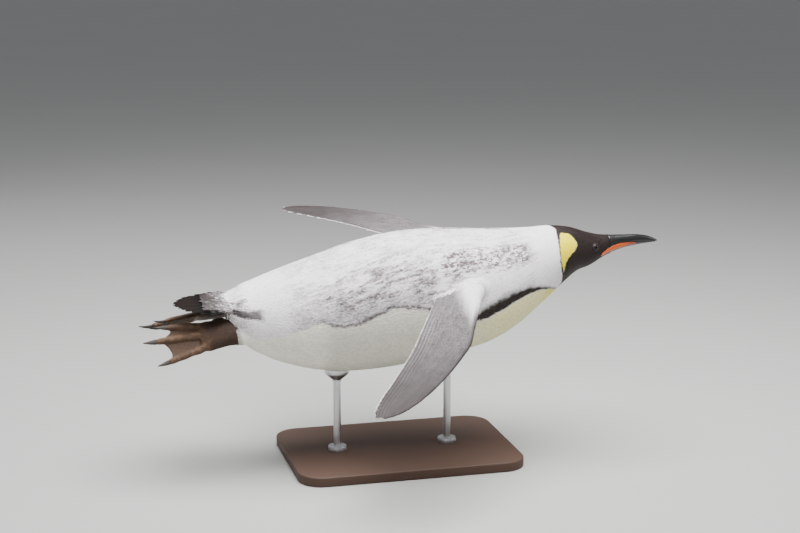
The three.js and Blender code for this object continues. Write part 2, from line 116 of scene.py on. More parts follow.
ANKLE = np.array((-300.0, 38.0, 15.0))
FOOT_TILT, FOOT_TURN, FOOT_DIP = math.radians(41), math.radians(2), math.radians(3)
TARSUS = (  # distance behind the ankle, half width, half thickness
    (-48, 38, 26), (-20, 34, 20), (0, 28, 15), (22, 24.5, 13), (44, 26, 11), (62, 27, 8.5), (72, 22, 5),
)
TOES = {  # root, end, root radius, end radius, claw length, knuckles
    "inner": ((50, 18), (126, 30), 7.6, 5.2, 19, 2),
    "middle": ((50, 3), (149, 8), 8.4, 5.6, 22, 3),
    "outer": ((50, -16), (134, -33), 7.8, 5.2, 20, 3),
}
TOE_FLATNESS, KNUCKLE_RISE, CLAW_BEND, CLAW_GAP, CLAW_ROOT = 0.82, 0.9, 5, 0.3, 2.0
WEBS = (("inner", "middle"), ("middle", "outer"))
HIND_TOE, HIND_TOE_RADII = (34, 25, -3), (13, 6, 6)
WEB_THICK, WEB_NOTCH = 2.6, 9

BASE_LENGTH, BASE_WIDTH, BASE_THICK, BASE_CORNER, BASE_BEVEL = 0.420, 0.300, 0.018, 0.045, 0.0025
ROD_RADIUS, COLLAR_RADIUS, COLLAR_HEIGHT = 0.007, 0.017, 0.009
RODS = (("front", 0.095, 0.176), ("rear", -0.115, 0.150))  # name, x, height of the cup's foot
CUP_FOOT_RADIUS, CUP_RIM_RADIUS, CUP_RIM_HEIGHT, CUP_FOOT_HEIGHT = 0.0085, 0.023, 0.016, 0.003
CUP_BLANK_TOP, CUP_CLEARANCE, RIM_DROP, ROD_SUNK = 0.031, 0.0003, 0.0012, 0.004
SCREW_RADIUS, SCREW_LENGTH, SCREW_TURNS = 0.0022, 0.003, (-0.5, 2.6)

# ---- markings, as places on the body
# Angles are in degrees from the middle of the back, the same on both sides.
SILVER_EDGE = (  # x, angle where the silver back gives way to the white belly
    (-330, 100), (-287, 95), (-265, 90), (-237, 83), (-202, 74), (-185, 70), (-167, 66),
    (-154, 68), (-142, 72), (-125, 73.5), (-108, 73), (-90, 71), (-77, 69), (-62, 67), (-44, 65),
    (-26, 65), (-8, 67), (10, 69), (24, 72), (60, 80), (85, 86), (109, 88), (122, 84), (142, 78),
    (163, 74), (184, 74), (205, 74), (226, 77), (248, 86), (271, 102), (285, 120), (300, 140),
)
BAND = (  # x, upper angle and lower angle of the dark band from the throat to the shoulder
    (40, 76, 77), (85, 84, 87), (109, 86, 90.5), (121, 81, 90.5), (141, 75, 89.5), (161, 72, 87),
    (182, 71.5, 85), (204, 72, 84), (226, 76, 85.5), (248, 85, 90.5), (271, 100, 104),
    (285, 117, 122), (300, 134, 142),
)
COLLAR = (  # angle, x where the dark head begins
    (0, 304), (13, 301.5), (29, 299), (48, 296), (68, 294), (96, 297), (119, 298), (135, 292),
    (155, 284), (180, 280),
)
EAR = (  # angle, rear edge and front edge of the yellow ear patch
    (14, 311, 311), (15.5, 308.8, 316.5), (17.5, 307.4, 323), (20, 306.4, 326.2), (24, 305, 328.6),
    (32, 302.2, 331.6), (40, 300.1, 334.2), (46, 299, 335.3), (52, 298, 334.4), (57, 297.4, 331.8),
    (61, 297.1, 328.3), (66, 296.9, 319.5), (71, 297, 310.8), (78, 297.6, 305), (86, 299.3, 302.4),
    (94, 300.8, 300.8),
)
EAR_TURN = 15  # the left patch sits this much lower, as the head is turned a little on the neck
RIGHT_ROOT_HIGHLIGHT = 0.14  # painted highlight: the right flipper's root stays white this share of the span further out, so the left flipper's grey starts this share nearer to the body
# x where each part of the pattern starts, is full, is still full and ends, some with angles as well.
BAND_SPAN, BAND_EDGE_SPAN, DARK_LINE = (38, 100, 280, 296), (60, 100, 284, 296), (-176, -140, 60, 130)
SADDLE = (-215, -120, 60, 120), (14, 30, 58, 82)
SCAPULAR = (40, 90, 215, 262), (14, 24, 38, 54)
# The rump's span is a painted highlight that takes grey out of the silver there.
BESIDE_WING, RUMP_HIGHLIGHT, EDGE_WEAR = (-235, -165, 20, 70), (-292, -276, -240, -200), (-200, -150, 40, 90)
TAIL_ROOT_ANGLES, TAIL_STRIPE_ANGLES = (16, 30, 54, 66), (43, 48, 58, 63)
# x where a part starts and is full.
SOFT_REAR, THROAT, NAPE, TAIL_STRIPE = (-190, -300), (235, 292), (225, 262), (-254, -268)
NOISES = {  # size of the lumps, seed, length of the lumps as a multiple of their size
    "waver": (9, 3, 1), "collar": (5, 4, 1), "blotches": (28, 5, 1), "spots": (12, 6, 1),
    "long streaks": (3.0, 7, 6.5), "short streaks": (2.2, 11, 2.5), "pepper": (2.7, 12, 1.8),
    "wing blotches": (22, 8, 2), "wing streaks": (3.2, 9, 5), "wing lines": (30, 13, 1),
}
STREAK_SLANT = 0.14  # how far the streaks slope down as they run ahead
SIDE_SHIFT = 700  # takes the two sides of the body to different places of the noise
ARC_RADIUS = 110  # turns an angle round the body into a distance over it, for the noise
WING_LENGTHWISE, WING_CROSSWISE = 340, 90  # the flipper's length and width, for the noise
LINE_GAP = 5.6  # between the lines of feathers along the flipper's trailing edge
TAIL_SHADE_MARKS = (0.3, 0, 0.9, 0.5)  # painted shade: the skin under the tail feathers, made dark

# ---- feathers, in millimetres or in shares
COAT_LENGTHS = (  # x, length of the body's feathers
    (-330, 9), (-300, 10), (-200, 11), (120, 11), (200, 9.5), (255, 7.6), (300, 6), (335, 4.9),
    (370, 4.1), (400, 3.4), (414, 2.8),
)
COAT_DEPTH = 0.14  # how far the skin lies inside the outline, as a share of the feathers' length
WING_DEPTH, LEG_DEPTH, TAIL_INSET = 0.9, 1.2, 5
WING_ROOT, WING_END = -0.11, 0.995  # where the skin's flipper starts and ends, as shares of the span
CROWDING, ROW_STEP = 0.27, 0.285  # gaps between the body's feathers and rows, in feather lengths
WING_CROWDING, WING_ROW_STEP, WING_SLANT = 0.29, 0.30, 0.30
# Widths as shares of the length, then how high the tips stand off the skin, how much higher for each
# millimetre of length, and the same as shares of the length.
BODY_FEATHER, WING_FEATHER, LEG_FEATHER, COVERT, JOIN_FEATHER = 0.43, 0.46, 0.46, 0.33, 0.45
BODY_LIFT, WING_LIFT, JOIN_LIFT = 0.1, 0.12, 0.1
LIFT_SLOPE, JOIN_SLOPE = 0.075, 0.08
LEG_LIFT, COVERT_LIFT, SCALE_LIFT = 0.14, 0.10, 0.09
WING_EDGE_FRONT, WING_EDGE_REAR = 0.6, 1.9  # bare margins of the flipper
LEG_LONG, LEG_COUNT = 5.4, 96  # length of the shank's feathers, and how many are in a row
COVERT_COUNT, COVERT_REACH = 68, 9
LEG_ROWS, COVERT_ROWS, SHANK_ROWS = (-46, 3.5, 1.6), (-346, -288, 2.5), (1.5, 64, 1.9)  # from, to, step
SHANK_SCALE, TOE_SCALE, WEB_SCALE = 0, 1, 2  # the kinds of foot scales
# Length and width of the scales.
SHANK_SIZE, SCUTE_SIZE, TOE_SIZE, WEB_SIZE = (3.2, 3.0), (4.4, 7.0), (3.4, 3.6), (2.9, 2.5)
SHANK_GAP, TOE_STEP, TOE_ROUND = 2.6, 2.5, 9  # gap round the shank, gap along a toe, scales round it
WEB_ROWS, WEB_LINES = (0.12, 0.97, 34), (0.16, 0.84, 9)  # from, to, count
OPEN_GAP = 0.33  # skin further than this share of a feather's length from any feather counts as open
OPEN_SHARE = 1.7e-6  # area of open skin for each feather laid there, in square metres
VANE_OUTLINE = ((0, 0), (0.38, 1), (0.8, 0.74), (1, 0), (0.8, -0.74), (0.38, -1))
VANE_ROOT, VANE_TIP, VANE_MIDDLE = 0, 3, 0.6  # two corners of the outline, and where it is thickest
VANE_SHAPE = VANE_OUTLINE + ((VANE_MIDDLE, 0), (VANE_MIDDLE, 0))
VANE_BULGE = (0,) * len(VANE_OUTLINE) + (1, -0.6)  # out of and into the vane, in its thickness
VANE_CURVE, VANE_ROLL = 1.25, 0.05  # how late a vane lifts off the skin, and how much it rolls
VANE_THICK = (0.028, 0.02)  # thickness for each millimetre of length, and the rest of it
LEAST_LIE, LEAST_AGREEMENT = 0.3, 0.2  # vanes on a fold of the skin are left out
VANE_PATCH = 0.003  # each vane's size on the map for baking
TAIL_BLADES, BLADE_WIDTH, BLADE_THICK, SHAFT_RISE = 16, 5.6, 0.42, 0.55

# ---- camera, floor and lamps
CAMERA_AZIMUTH, CAMERA_ELEVATION = math.radians(-14.3), math.radians(12)
CAMERA_DISTANCE, CAMERA_RIGHT, CAMERA_UP, CAMERA_LENS = 3.054, 0.0044, 0.057, 75
FLOOR_RADIUS, ROOM_TONE = 60, (0.93, 0.96, 1.0)
LAMPS = (  # name, place, width
    ("overhead", (0.1, -0.2, 2.3), 2.2), ("front", (-1.2, -2.6, 1.3), 1.6),
    ("side", (2.6, -0.6, 1.2), 1.4), ("rear", (-1.6, 2.4, 1.6), 1.6),
)

SIDES = (("left", 1), ("right", -1))  # name, and what y is multiplied by
TURN = 2 * math.pi


def between(rows, x):
    """Smooth values of a table's columns at x: a cubic with each row's slope weighted by distance."""
    table = np.array(rows, float)
    if table[-1, 0] < table[0, 0]:
        table = table[::-1]
    at, values = table[:, 0], table[:, 1:]
    x = np.clip(np.asarray(x, float), at[0], at[-1])
    run = np.diff(at)
    pace = np.diff(values, axis=0) / run[:, None]
    slope = np.vstack([pace[:1], np.zeros((len(at) - 2, values.shape[1])), pace[-1:]])
    slope[1:-1] = (pace[:-1] * run[1:, None] + pace[1:] * run[:-1, None]) / (run[:-1] + run[1:])[:, None]
    i = np.clip(np.searchsorted(at, x, "right") - 1, 0, len(at) - 2)
    t = ((x - at[i]) / run[i])[..., None]
    h = run[i][..., None]
    near = (2 * t**3 - 3 * t**2 + 1) * values[i] + (t**3 - 2 * t**2 + t) * h * slope[i]
    far = (3 * t**2 - 2 * t**3) * values[i + 1] + (t**3 - t**2) * h * slope[i + 1]
    return near + far


def columns(rows, x):
    """The same values, column by column."""
    return np.moveaxis(between(rows, x), -1, 0)


def straight(rows, x, column=1):
    """A table's column at x along straight lines."""
    table = np.array(rows, float)
    return np.interp(x, table[:, 0], table[:, column])


def ease(low, high, x):
    """0 below low, 1 above high, smooth between."""
    t = np.clip((x - low) / (high - low), 0, 1)
    return t * t * (3 - 2 * t)


def plateau(low, full, still, end, x):
    """Rises from 0 at low to 1 at full, and falls from 1 at still to 0 at end."""
    return ease(low, full, x) * ease(end, still, x)


def unit(v):
    """The vectors with length one."""
    return v / np.maximum(np.linalg.norm(v, axis=-1, keepdims=True), 1e-12)


def round_end(t, start, width, least):
    """Share of the full radius at t: 1 up to start, then falling as a quarter circle of that width."""
    return np.sqrt(np.clip(1 - ((t - start) / width).clip(0) ** 2, least, 1))


def flipped(mirror):
    """Multiplies bird-frame points: 1 leaves them, -1 takes them to the other side."""
    return np.array((1, mirror, 1))


def on_left(points):
    """The points with those of the right side taken to the left."""
    return points * np.where(points[:, 1:2] < 0, (1, -1, 1), (1, 1, 1))


def staggered(count, row, jitter, rng, start=0.0):
    """Places from 0 to 1 along a row, with every second row moved by half a step."""
    return (np.arange(count) + 0.5 * (row % 2) + rng.uniform(-jitter, jitter, count) + start) / count


def to_world(points):
    """Bird-frame millimetres to metres on the stand."""
    turn = np.array(Matrix.Rotation(-NOSE_UP, 3, "Y") @ Matrix.Rotation(BANK, 3, "X"))
    return (np.asarray(points) @ turn.T + np.array((0, 0, BODY_HEIGHT))) * MM


def to_bird(points):
    """Metres on the stand to bird-frame millimetres."""
    turn = np.array(Matrix.Rotation(-NOSE_UP, 3, "Y") @ Matrix.Rotation(BANK, 3, "X"))
    return (np.asarray(points) / MM - np.array((0, 0, BODY_HEIGHT))) @ turn


def body_section(x):
    """Half width, height of the middle and half height of the body at x."""
    back, belly, half = columns(BODY, x)
    return half, (back + belly) / 2, (back - belly) / 2


def body_point(x, angle, grow=0.0):
    """A point of the body's surface. Angle 0 is the back, a quarter turn the left flank."""
    half, middle, tall = body_section(x)
    return np.stack(np.broadcast_arrays(
        x, (half + grow) * np.sin(angle), middle + (tall + grow) * np.cos(angle)), -1)


def body_place(points):
    """x, angle and how far outside the body's outline each bird-frame point is, in millimetres."""
    half, middle, tall = body_section(points[:, 0])
    side, rise = points[:, 1] / half, (points[:, 2] - middle) / tall
    reach = np.hypot(side, rise)
    return points[:, 0], np.arctan2(side, rise), (reach - 1) * np.minimum(half, tall)


def wing_axes():
    """Ways along the left flipper's span, forward across it and out of its upper face."""
    cos, sin = math.cos, math.sin
    span = np.array((-sin(WING_SWEEP) * cos(WING_DROOP), cos(WING_SWEEP) * cos(WING_DROOP), -sin(WING_DROOP)))
    level = np.array((cos(WING_SWEEP), sin(WING_SWEEP), 0))
    up = unit(np.cross(level, span))
    across = np.cross(span, up)
    chord = across * cos(WING_TWIST) - up * sin(WING_TWIST)
    return span, chord, np.cross(chord, span)


def wing_point(s, back, side, grow=0.0):
    """A point of the left flipper. back runs from the leading edge, 0, to the trailing edge, 1, and
    side is 1 on the upper face and -1 on the lower."""
    lead, trail, thick = columns(WING, s)
    lead, trail = lead + grow, trail + grow
    depth = 2 * np.sqrt(np.clip(back * (1 - back), 0, 1))
    h = side * depth * (thick * WING_FULLNESS * (1 - WING_THINNING * back) + grow)
    c = lead - back * (lead + trail) - WING_TIP_CURVE * np.maximum(s, 0) ** 2
    span, chord, up = wing_axes()
    s, c, h = (np.asarray(v)[..., None] for v in np.broadcast_arrays(s, c, h))
    return WING_JOINT + span * s * WING_SPAN + chord * c + up * h


def wing_place(points):
    """Share of the span, share of the chord and height above the plane, for points on the left side."""
    span, chord, up = wing_axes()
    off = points - WING_JOINT
    s = off @ span / WING_SPAN
    c = off @ chord + WING_TIP_CURVE * np.maximum(s, 0) ** 2
    lead, trail, _ = columns(WING, s)
    return s, (lead - c) / (lead + trail), off @ up


def foot_axes():
    """Ways behind the left ankle, inward and out of the sole."""
    back = unit(np.array((-math.cos(FOOT_TURN), -math.sin(FOOT_TURN), -math.sin(FOOT_DIP))))
    inward = np.array((0, -math.cos(FOOT_TILT), math.sin(FOOT_TILT)))
    inward = unit(inward - back * (inward @ back))
    sole = np.cross(inward, back)
    return back, inward, sole if sole[2] > 0 else -sole


def foot_point(u, v, w):
    """A point of the left foot: u behind the ankle, v inward, w out of the sole."""
    back, inward, sole = foot_axes()
    u, v, w = (np.asarray(k, float)[..., None] for k in np.broadcast_arrays(u, v, w))
    return ANKLE + back * u + inward * v + sole * w


def foot_place(points):
    """u, v and w of foot_point for points on the left side."""
    off = points - ANKLE
    return [off @ axis for axis in foot_axes()]


def beside_toe(toe, along, inward, sole):
    """A point beside a toe's own line."""
    (u0, v0), (u1, v1) = toe[0], toe[1]
    aim = unit(np.array((u1 - u0, v1 - v0), float))
    return foot_point(u0 + aim[0] * along - aim[1] * inward, v0 + aim[1] * along + aim[0] * inward, sole)


def toe_length(toe):
    """From a toe's root to the root of its claw."""
    return math.hypot(toe[1][0] - toe[0][0], toe[1][1] - toe[0][1])


def mouth_height(x):
    """Height of the line between the two halves of the bill."""
    return between(MOUTH, x)[..., 0]


def noise(x, y, kind):
    """Smooth seeded noise from -1 to 1 over a plane, with the lumps of one kind."""
    cell, seed, long = NOISES[kind]
    grid = np.random.default_rng(seed).uniform(-1, 1, (256, 256))
    u, v = np.asarray(x) / (cell * long) + 1000, np.asarray(y) / cell + 1000
    i, j = np.floor(u).astype(int), np.floor(v).astype(int)
    fu, fv = u - i, v - j
    fu, fv = fu * fu * (3 - 2 * fu), fv * fv * (3 - 2 * fv)

    def corner(a, b):
        return grid[(i + a) % 256, (j + b) % 256]
    low = corner(0, 0) * (1 - fu) + corner(1, 0) * fu
    high = corner(0, 1) * (1 - fu) + corner(1, 1) * fu
    return low * (1 - fv) + high * fv


# ---- markings
def band_edges(x, waver):
    """Upper and lower angle of the dark band from the throat to the shoulder."""
    return straight(BAND, x, 1) + waver, straight(BAND, x, 2) + waver * 0.5


def silver_back(x, degrees, waver):
    """How silver a place is and the angle where the silver ends, sharp on the flank and soft behind."""
    edge = straight(SILVER_EDGE, x) + waver
    under_band = np.maximum(band_edges(x, waver)[1] + 0.3, edge)
    edge = edge + (under_band - edge) * plateau(*BAND_EDGE_SPAN, x)
    sharp, soft = (1 - ease(-half, half, degrees - edge) for half in (1.5, 12))
    behind = ease(*SOFT_REAR, x)
    return sharp * (1 - behind) + soft * behind, edge


def throat_band(x, degrees, waver):
    """The dark band from the throat to the shoulder, smoky along its top and sharp below."""
    upper, lower = band_edges(x, waver)
    depth = (degrees - upper) / np.maximum(lower - upper, 1)
    smoke = ease(-4.5, 3.5, degrees - upper) * (0.55 + 0.45 * ease(0.0, 0.45, depth))
    return smoke * ease(-0.8, 1.0, lower - degrees) * plateau(*BAND_SPAN, x)


def head_and_ear(x, degrees, side, arc):
    """The dark head without the ear patch, and the ear patch."""
    collar = straight(COLLAR, degrees) + noise(x, arc, "collar") * 0.5
    turned = degrees - EAR_TURN * (side > 0)
    rear_edge, front_edge = straight(EAR, turned, 1), straight(EAR, turned, 2)
    ear = ease(-0.6, 0.6, x - rear_edge) * ease(-0.6, 0.6, front_edge - x)
    ear = ear * (turned > EAR[0][0]) * (turned < EAR[-1][0])
    return ease(-0.7, 0.7, x - collar) * (1 - ear), ear


def wear_and_highlight(x, degrees, side, arc, above, line):
    """How worn and grey the silver is: blotched and streaked, most of all on the saddle, the scapulars and
    just above the silver's edge, and hardly on the nape. The shoulder and rump are paler still as painted
    highlights."""
    low = np.abs(arc)
    ahead, beside = x - STREAK_SLANT * low + SIDE_SHIFT * side, low + STREAK_SLANT * x
    patches = noise(x, arc, "blotches") * 0.5 + noise(x, arc, "spots") * 0.4
    streaks = noise(ahead, beside, "long streaks") * 0.65 + noise(ahead, beside, "short streaks") * 0.35
    pepper = noise(ahead + low, beside - 0.5 * x, "pepper")
    saddle = plateau(*SADDLE[1], degrees) * plateau(*SADDLE[0], x)
    scapular = plateau(*SCAPULAR[1], degrees) * plateau(*SCAPULAR[0], x)
    beside_wing = plateau(*BESIDE_WING, x)
    flank = ease(36, 60, degrees) * beside_wing
    # Painted highlights: the shoulder and the rump are made paler, as strong light from above would make
    # them.
    shoulder = np.exp(-(((x - 150) / 48) ** 2 + ((degrees - 62) / 15) ** 2))
    rump = plateau(*RUMP_HIGHLIGHT, x)
    nape = ease(*NAPE, x)
    calm = 1 - 0.75 * ease(44, 62, degrees) * beside_wing
    worn = 0.13 + patches * 0.22 + streaks * 0.36 * calm
    worn = worn + saddle * (0.24 + patches * 0.34 + streaks * 0.42) * calm
    worn = worn + scapular * (0.06 + patches * 0.45 + ease(0.0, 0.45, pepper) * 0.85 + streaks * 0.35)
    worn = worn + flank * 0.26 + line * 0.3
    worn = worn + np.exp(-above / 5) * 0.16 * plateau(*EDGE_WEAR, x)
    tail_root = ease(-262, -292, x) * plateau(*TAIL_ROOT_ANGLES, degrees)
    worn = worn + tail_root * (0.35 + streaks * 0.5)
    return np.clip(worn - 1.2 * shoulder - rump * 0.5 - nape * 0.45, -0.3, 1)


def body_marks(x, angle):
    """How silver, golden and dark the plumage is at a place on the body, and how mottled, which carries
    painted highlights on the shoulder and rump.
    """
    degrees = np.degrees(np.abs(np.arctan2(np.sin(angle), np.cos(angle))))
    side = np.sign(np.sin(angle))
    arc = np.radians(degrees) * ARC_RADIUS * side
    waver = noise(x, arc, "waver") * 1.2
    silver, edge = silver_back(x, degrees, waver)
    above = np.clip(edge - degrees, 0, 90)
    line = np.exp(-((above - 1.4) / 1.5) ** 2) * plateau(*DARK_LINE, x)
    head, ear = head_and_ear(x, degrees, side, arc)
    dark = np.clip(throat_band(x, degrees, waver) + line * 0.5 + head, 0, 1)
    breast = ease(-2, 2, degrees - edge) * (1 - head)
    throat = ease(*THROAT, x) ** 1.4
    gold = np.maximum(breast * (0.06 + 0.16 * ease(20, 190, x) + 0.5 * throat), ear)
    tail_stripe = ease(*TAIL_STRIPE, x) * plateau(*TAIL_STRIPE_ANGLES, degrees + waver)
    dark = np.clip(dark + tail_stripe * 0.85 * silver, 0, 1)
    return silver * (1 - ear), gold, dark, wear_and_highlight(x, degrees, side, arc, above, line)


def wing_marks(s, back, upper, left):
    """The same for a flipper: grey above with a white trailing edge and a painted highlight whitening its
    root, white below with dark edges.
    """
    lead, trail, _ = columns(WING, s)
    chord = (lead + trail) * (1 - back)
    along, across = s * WING_LENGTHWISE, back * WING_CROSSWISE
    streak = noise(along, across, "wing blotches") * 0.5 + noise(along, across, "wing streaks") * 0.5
    trail_line = ease(4.2, 2.2, chord) * ease(0.02, 0.1, s)
    ripple = np.sin(TURN * (chord + noise(along, chord, "wing lines") * 1.2) / LINE_GAP)
    lines = ripple * ease(34, 18, chord) * ease(0.1, 0.3, s)
    lead_dark = ease(0.12, 0.02, back) * ease(0.02, 0.16, s)
    tip_dark = ease(0.87, 0.95, s) * ease(-0.7, 0.3, ripple + streak * 0.6)
    # Painted highlight: the root is left white, as the lit shoulder is; on the right flipper it reaches
    # further out.
    grey = ease(-0.10, 0.12, s + 0.4 * (back - 0.46) + RIGHT_ROOT_HIGHLIGHT * left)
    top_mottle = np.clip(-0.25 + grey * 0.93 + streak * 0.2 * grey + lines * 0.28, -0.3, 1)
    deep = (0.68 + 0.24 * ease(0.2, 0.8, s)) * grey * (1 - trail_line)
    top_dark = np.maximum(deep, np.clip(lead_dark * 0.85 + tip_dark * 0.9, 0, 0.95))
    top = np.stack([1 - trail_line, 0 * s, top_dark, top_mottle])
    under_lead = ease(0.22, 0.10, back + streak * 0.03)
    under_tip = ease(0.84, 0.93, s + 0.25 * (0.5 - back) + streak * 0.01)
    under = np.stack([0.12 + 0 * s, 0 * s, np.clip(under_lead + under_tip, 0, 1) * ease(0.0, 0.1, s),
                      np.clip(0.2 + streak * 0.2, 0, 1)])
    return np.where(upper, top, under)


# ---- mesh helpers
def in_scene(name, data):
    """A new object in the scene."""
    obj = bpy.data.objects.new(name, data)
    bpy.context.scene.collection.objects.link(obj)
    return obj


def keep(name, mesh, materials, nodes=(), slot=None, smooth=True):
    """Makes a finished piece of the model from a mesh in metres, at the origin and riding on the root."""
    old = bpy.data.objects.get(name)
    if old:
        bpy.data.objects.remove(old)
    obj = in_scene(name, mesh)
    for material in materials:
        mesh.materials.append(material)
    mesh.polygons.foreach_set("use_smooth", np.full(len(mesh.polygons), smooth))
    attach(obj, "root")
    if nodes:
        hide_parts(*nodes)
    return obj


def mesh_of(bm, name):
    """The finished mesh of a bmesh, with its faces turned outward."""
    bm.normal_update()
    bmesh.ops.recalc_face_normals(bm, faces=bm.faces)
    mesh = bpy.data.meshes.new(name)
    bm.to_mesh(mesh)
    bm.free()
    return mesh


def shell(place, rings, sides, bm=None):
    """A closed ball blank pulled to place(t, angle), with t from 0 to 1 between its two poles. The last
    ring at each end and the pole share t, so that the end is closed straight across."""
    bm = bm or bmesh.new()
    made = bmesh.ops.create_uvsphere(bm, u_segments=sides, v_segments=rings, radius=1)["verts"]
    ball = np.array([v.co for v in made])
    ring = np.round(rings * np.arccos(np.clip(-ball[:, 2], -1, 1)) / math.pi)
    t = np.clip((ring - 1) / (rings - 2), 0, 1)
    angle = np.arctan2(ball[:, 1], ball[:, 0])
    points = place(t, angle)
    turn = np.linspace(0, TURN, sides, endpoint=False)
    for end in (0, rings):
        middle = place(np.full(sides, float(end > 0)), turn).mean(axis=0)
        points[ring == end] = middle
    for vert, point in zip(made, points):
        vert.co = point
    return bm


def in_world(place, mirror=1):
    """A bird-frame shape in metres on the stand, on the side that mirror gives."""
    return lambda *where: to_world(place(*where) * flipped(mirror))


def add_attribute(mesh, name, values):
    """A colour-like value of up to four numbers on each vertex."""
    data = np.ones((len(mesh.vertices), 4), np.float32)
    data[:, :values.shape[1]] = values
    layer = mesh.attributes.new(name, "FLOAT_COLOR", "POINT")
    layer.data.foreach_set("color", data.ravel())


def positions(mesh):
    """Places of all vertices."""
    co = np.empty(len(mesh.vertices) * 3, np.float64)
    mesh.vertices.foreach_get("co", co)
    return co.reshape(-1, 3)


def colours_of(mesh, name):
    """The four numbers of an attribute on each vertex."""
    values = np.empty(len(mesh.vertices) * 4, np.float32)
    mesh.attributes[name].data.foreach_get("color", values)
    return values.reshape(-1, 4)


# ---- skin
def coat_length(x):
    """Length of the body's feathers at x, shortest on the face."""
    return straight(COAT_LENGTHS, x)


def coat_depth(x):
    """How far inside the outline the skin lies at x."""
    return COAT_DEPTH * coat_length(x)


def skin_body(t, angle):
    """Trunk, neck and head, from just inside the rump to just inside the bill."""
    start, end = RUMP_END + 2, FEATHER_EDGE - 1
    x = start + (end - start) * t
    return body_point(x, angle, -coat_depth(x))


def skin_wing(t, angle):
    """The left flipper, flared where it leaves the shoulder."""
    s = np.minimum(WING_ROOT + (WING_END - WING_ROOT) * (1 - (1 - t) ** 1.3), WING_END)
    back, side = (1 - np.cos(angle)) / 2, np.sign(np.sin(angle))
    flare = ease(0.21, -0.06, s) ** 2 * (1 - 0.8 * back)
    rise = np.where(side > 0, SHOULDER_RISE, -ARMPIT_RISE) * flare * 2 * np.sqrt(back * (1 - back).clip(0))
    _, chord, up = wing_axes()
    ahead = SHOULDER_LEAD * ease(0.09, -0.08, s) ** 3 * (1 - back) ** 2
    return wing_point(s, back, side, -WING_DEPTH) + up * rise[..., None] + chord * ahead[..., None]


def tail_surface(x, angle):
    """The fleshy root of the tail at x."""
    centre, half, thick = columns(TAIL, x)
    side = (half - TAIL_INSET) * np.cos(angle)
    rise = (thick * 0.62 - 0.6) * np.sin(angle)
    return np.stack([x, side, centre - TAIL_SAG * side**2 + rise], -1)


def skin_tail(t, angle):
    """The fleshy root of the tail, from inside the rump to under the tail feathers."""
    return tail_surface(-296 - 62 * t, angle)


def leg_surface(u, angle, inset=0.0):
    """The left shank at u behind the ankle, this far inside its outline."""
    half, thick = columns(TARSUS, u)
    return foot_point(u, (half - inset) * np.cos(angle), (thick - inset) * np.sin(angle))


def skin_tarsus(t, angle):
    """The left shank, under its feathers above the ankle and bare below it."""
    u = TARSUS[0][0] + (TARSUS[-1][0] - TARSUS[0][0]) * t
    return leg_surface(u, angle, LEG_DEPTH * ease(2, -6, u))


def skin_toe(toe):
    """A front toe with its knuckles, and pads under the joints."""
    def place(t, angle):
        knuckle = KNUCKLE_RISE * np.cos(TURN * toe[5] * t) * (1 - t * t)
        pad = 0.7 * np.cos(TURN * (toe[5] * t + 0.5)) * np.clip(np.sin(angle), 0, 1)
        r = toe[2] + (toe[3] - toe[2]) * t + knuckle + pad
        r = r * round_end(t, 0.93, 0.072, 0.02)
        along = toe_length(toe) * t * 0.995
        return beside_toe(toe, along, r * np.cos(angle), TOE_FLATNESS * r * np.sin(angle))
    return place


def skin_web(first, second):
    """Skin between two toes: across from one to the other, with a hollow free edge and fine ribs."""
    corner = [np.array((toe[1][0] - 6, toe[1][1]), float) for toe in (first, second)]
    hollow = (corner[0] + corner[1]) / 2 - np.array((2 * WEB_NOTCH, 0))
    root = [np.array(toe[0], float) for toe in (first, second)]

    def place(t, angle):
        along = (1 - np.cos(angle)) / 2
        w = t[..., None]
        edge = corner[0] * (1 - w) ** 2 + hollow * 2 * w * (1 - w) + corner[1] * w**2
        start = root[0] * (1 - w) + root[1] * w
        flat = start + (edge - start) * along[..., None]
        rib = 0.25 * np.sin(along * 60) * ease(0.15, 0.4, along)
        thick = WEB_THICK * 0.5 * (1.08 - 0.12 * along)
        sag = -1.6 * np.sin(math.pi * t) * along
        face = np.sign(np.sin(angle)) * np.minimum(1, 6 * np.abs(np.sin(angle)))
        return foot_point(flat[..., 0], flat[..., 1], sag + rib + thick * face)
    return place


def skin_hind_toe(t, angle):
    """The small hind toe, an egg on the inner side of the foot."""
    lean = math.pi * t
    r = HIND_TOE_RADII
    ring = np.sin(np.clip(lean, 0.02, math.pi - 0.02))
    off = np.stack([-r[0] * np.cos(lean), r[1] * ring * np.cos(angle), r[2] * ring * np.sin(angle)], -1)
    return foot_point(*HIND_TOE) + off


def eye_frame():
    """Centre of the left eyeball in the bird's frame, the way that it looks, and two ways across."""
    surface, inner = body_point(EYE_X, EYE_ANGLE), body_point(EYE_X, EYE_ANGLE, -EYE_SUNK)
    out = unit(np.array((0.22, math.sin(EYE_ANGLE), math.cos(EYE_ANGLE))))
    ahead = unit(np.cross(np.cross(out, (1.0, 0, 0)), out))
    ahead = ahead if ahead[0] > 0 else -ahead
    return np.array((surface[0], inner[1], inner[2])), out, ahead, np.cross(out, ahead)


def from_eye(points):
    """Distance from the middle of the left eye, 1 at the rim of the lids, and height out from it."""
    centre, out, ahead, across = eye_frame()
    off = points - centre
    return np.hypot((off @ ahead) / LID_LONG, (off @ across) / LID_TALL), off @ out


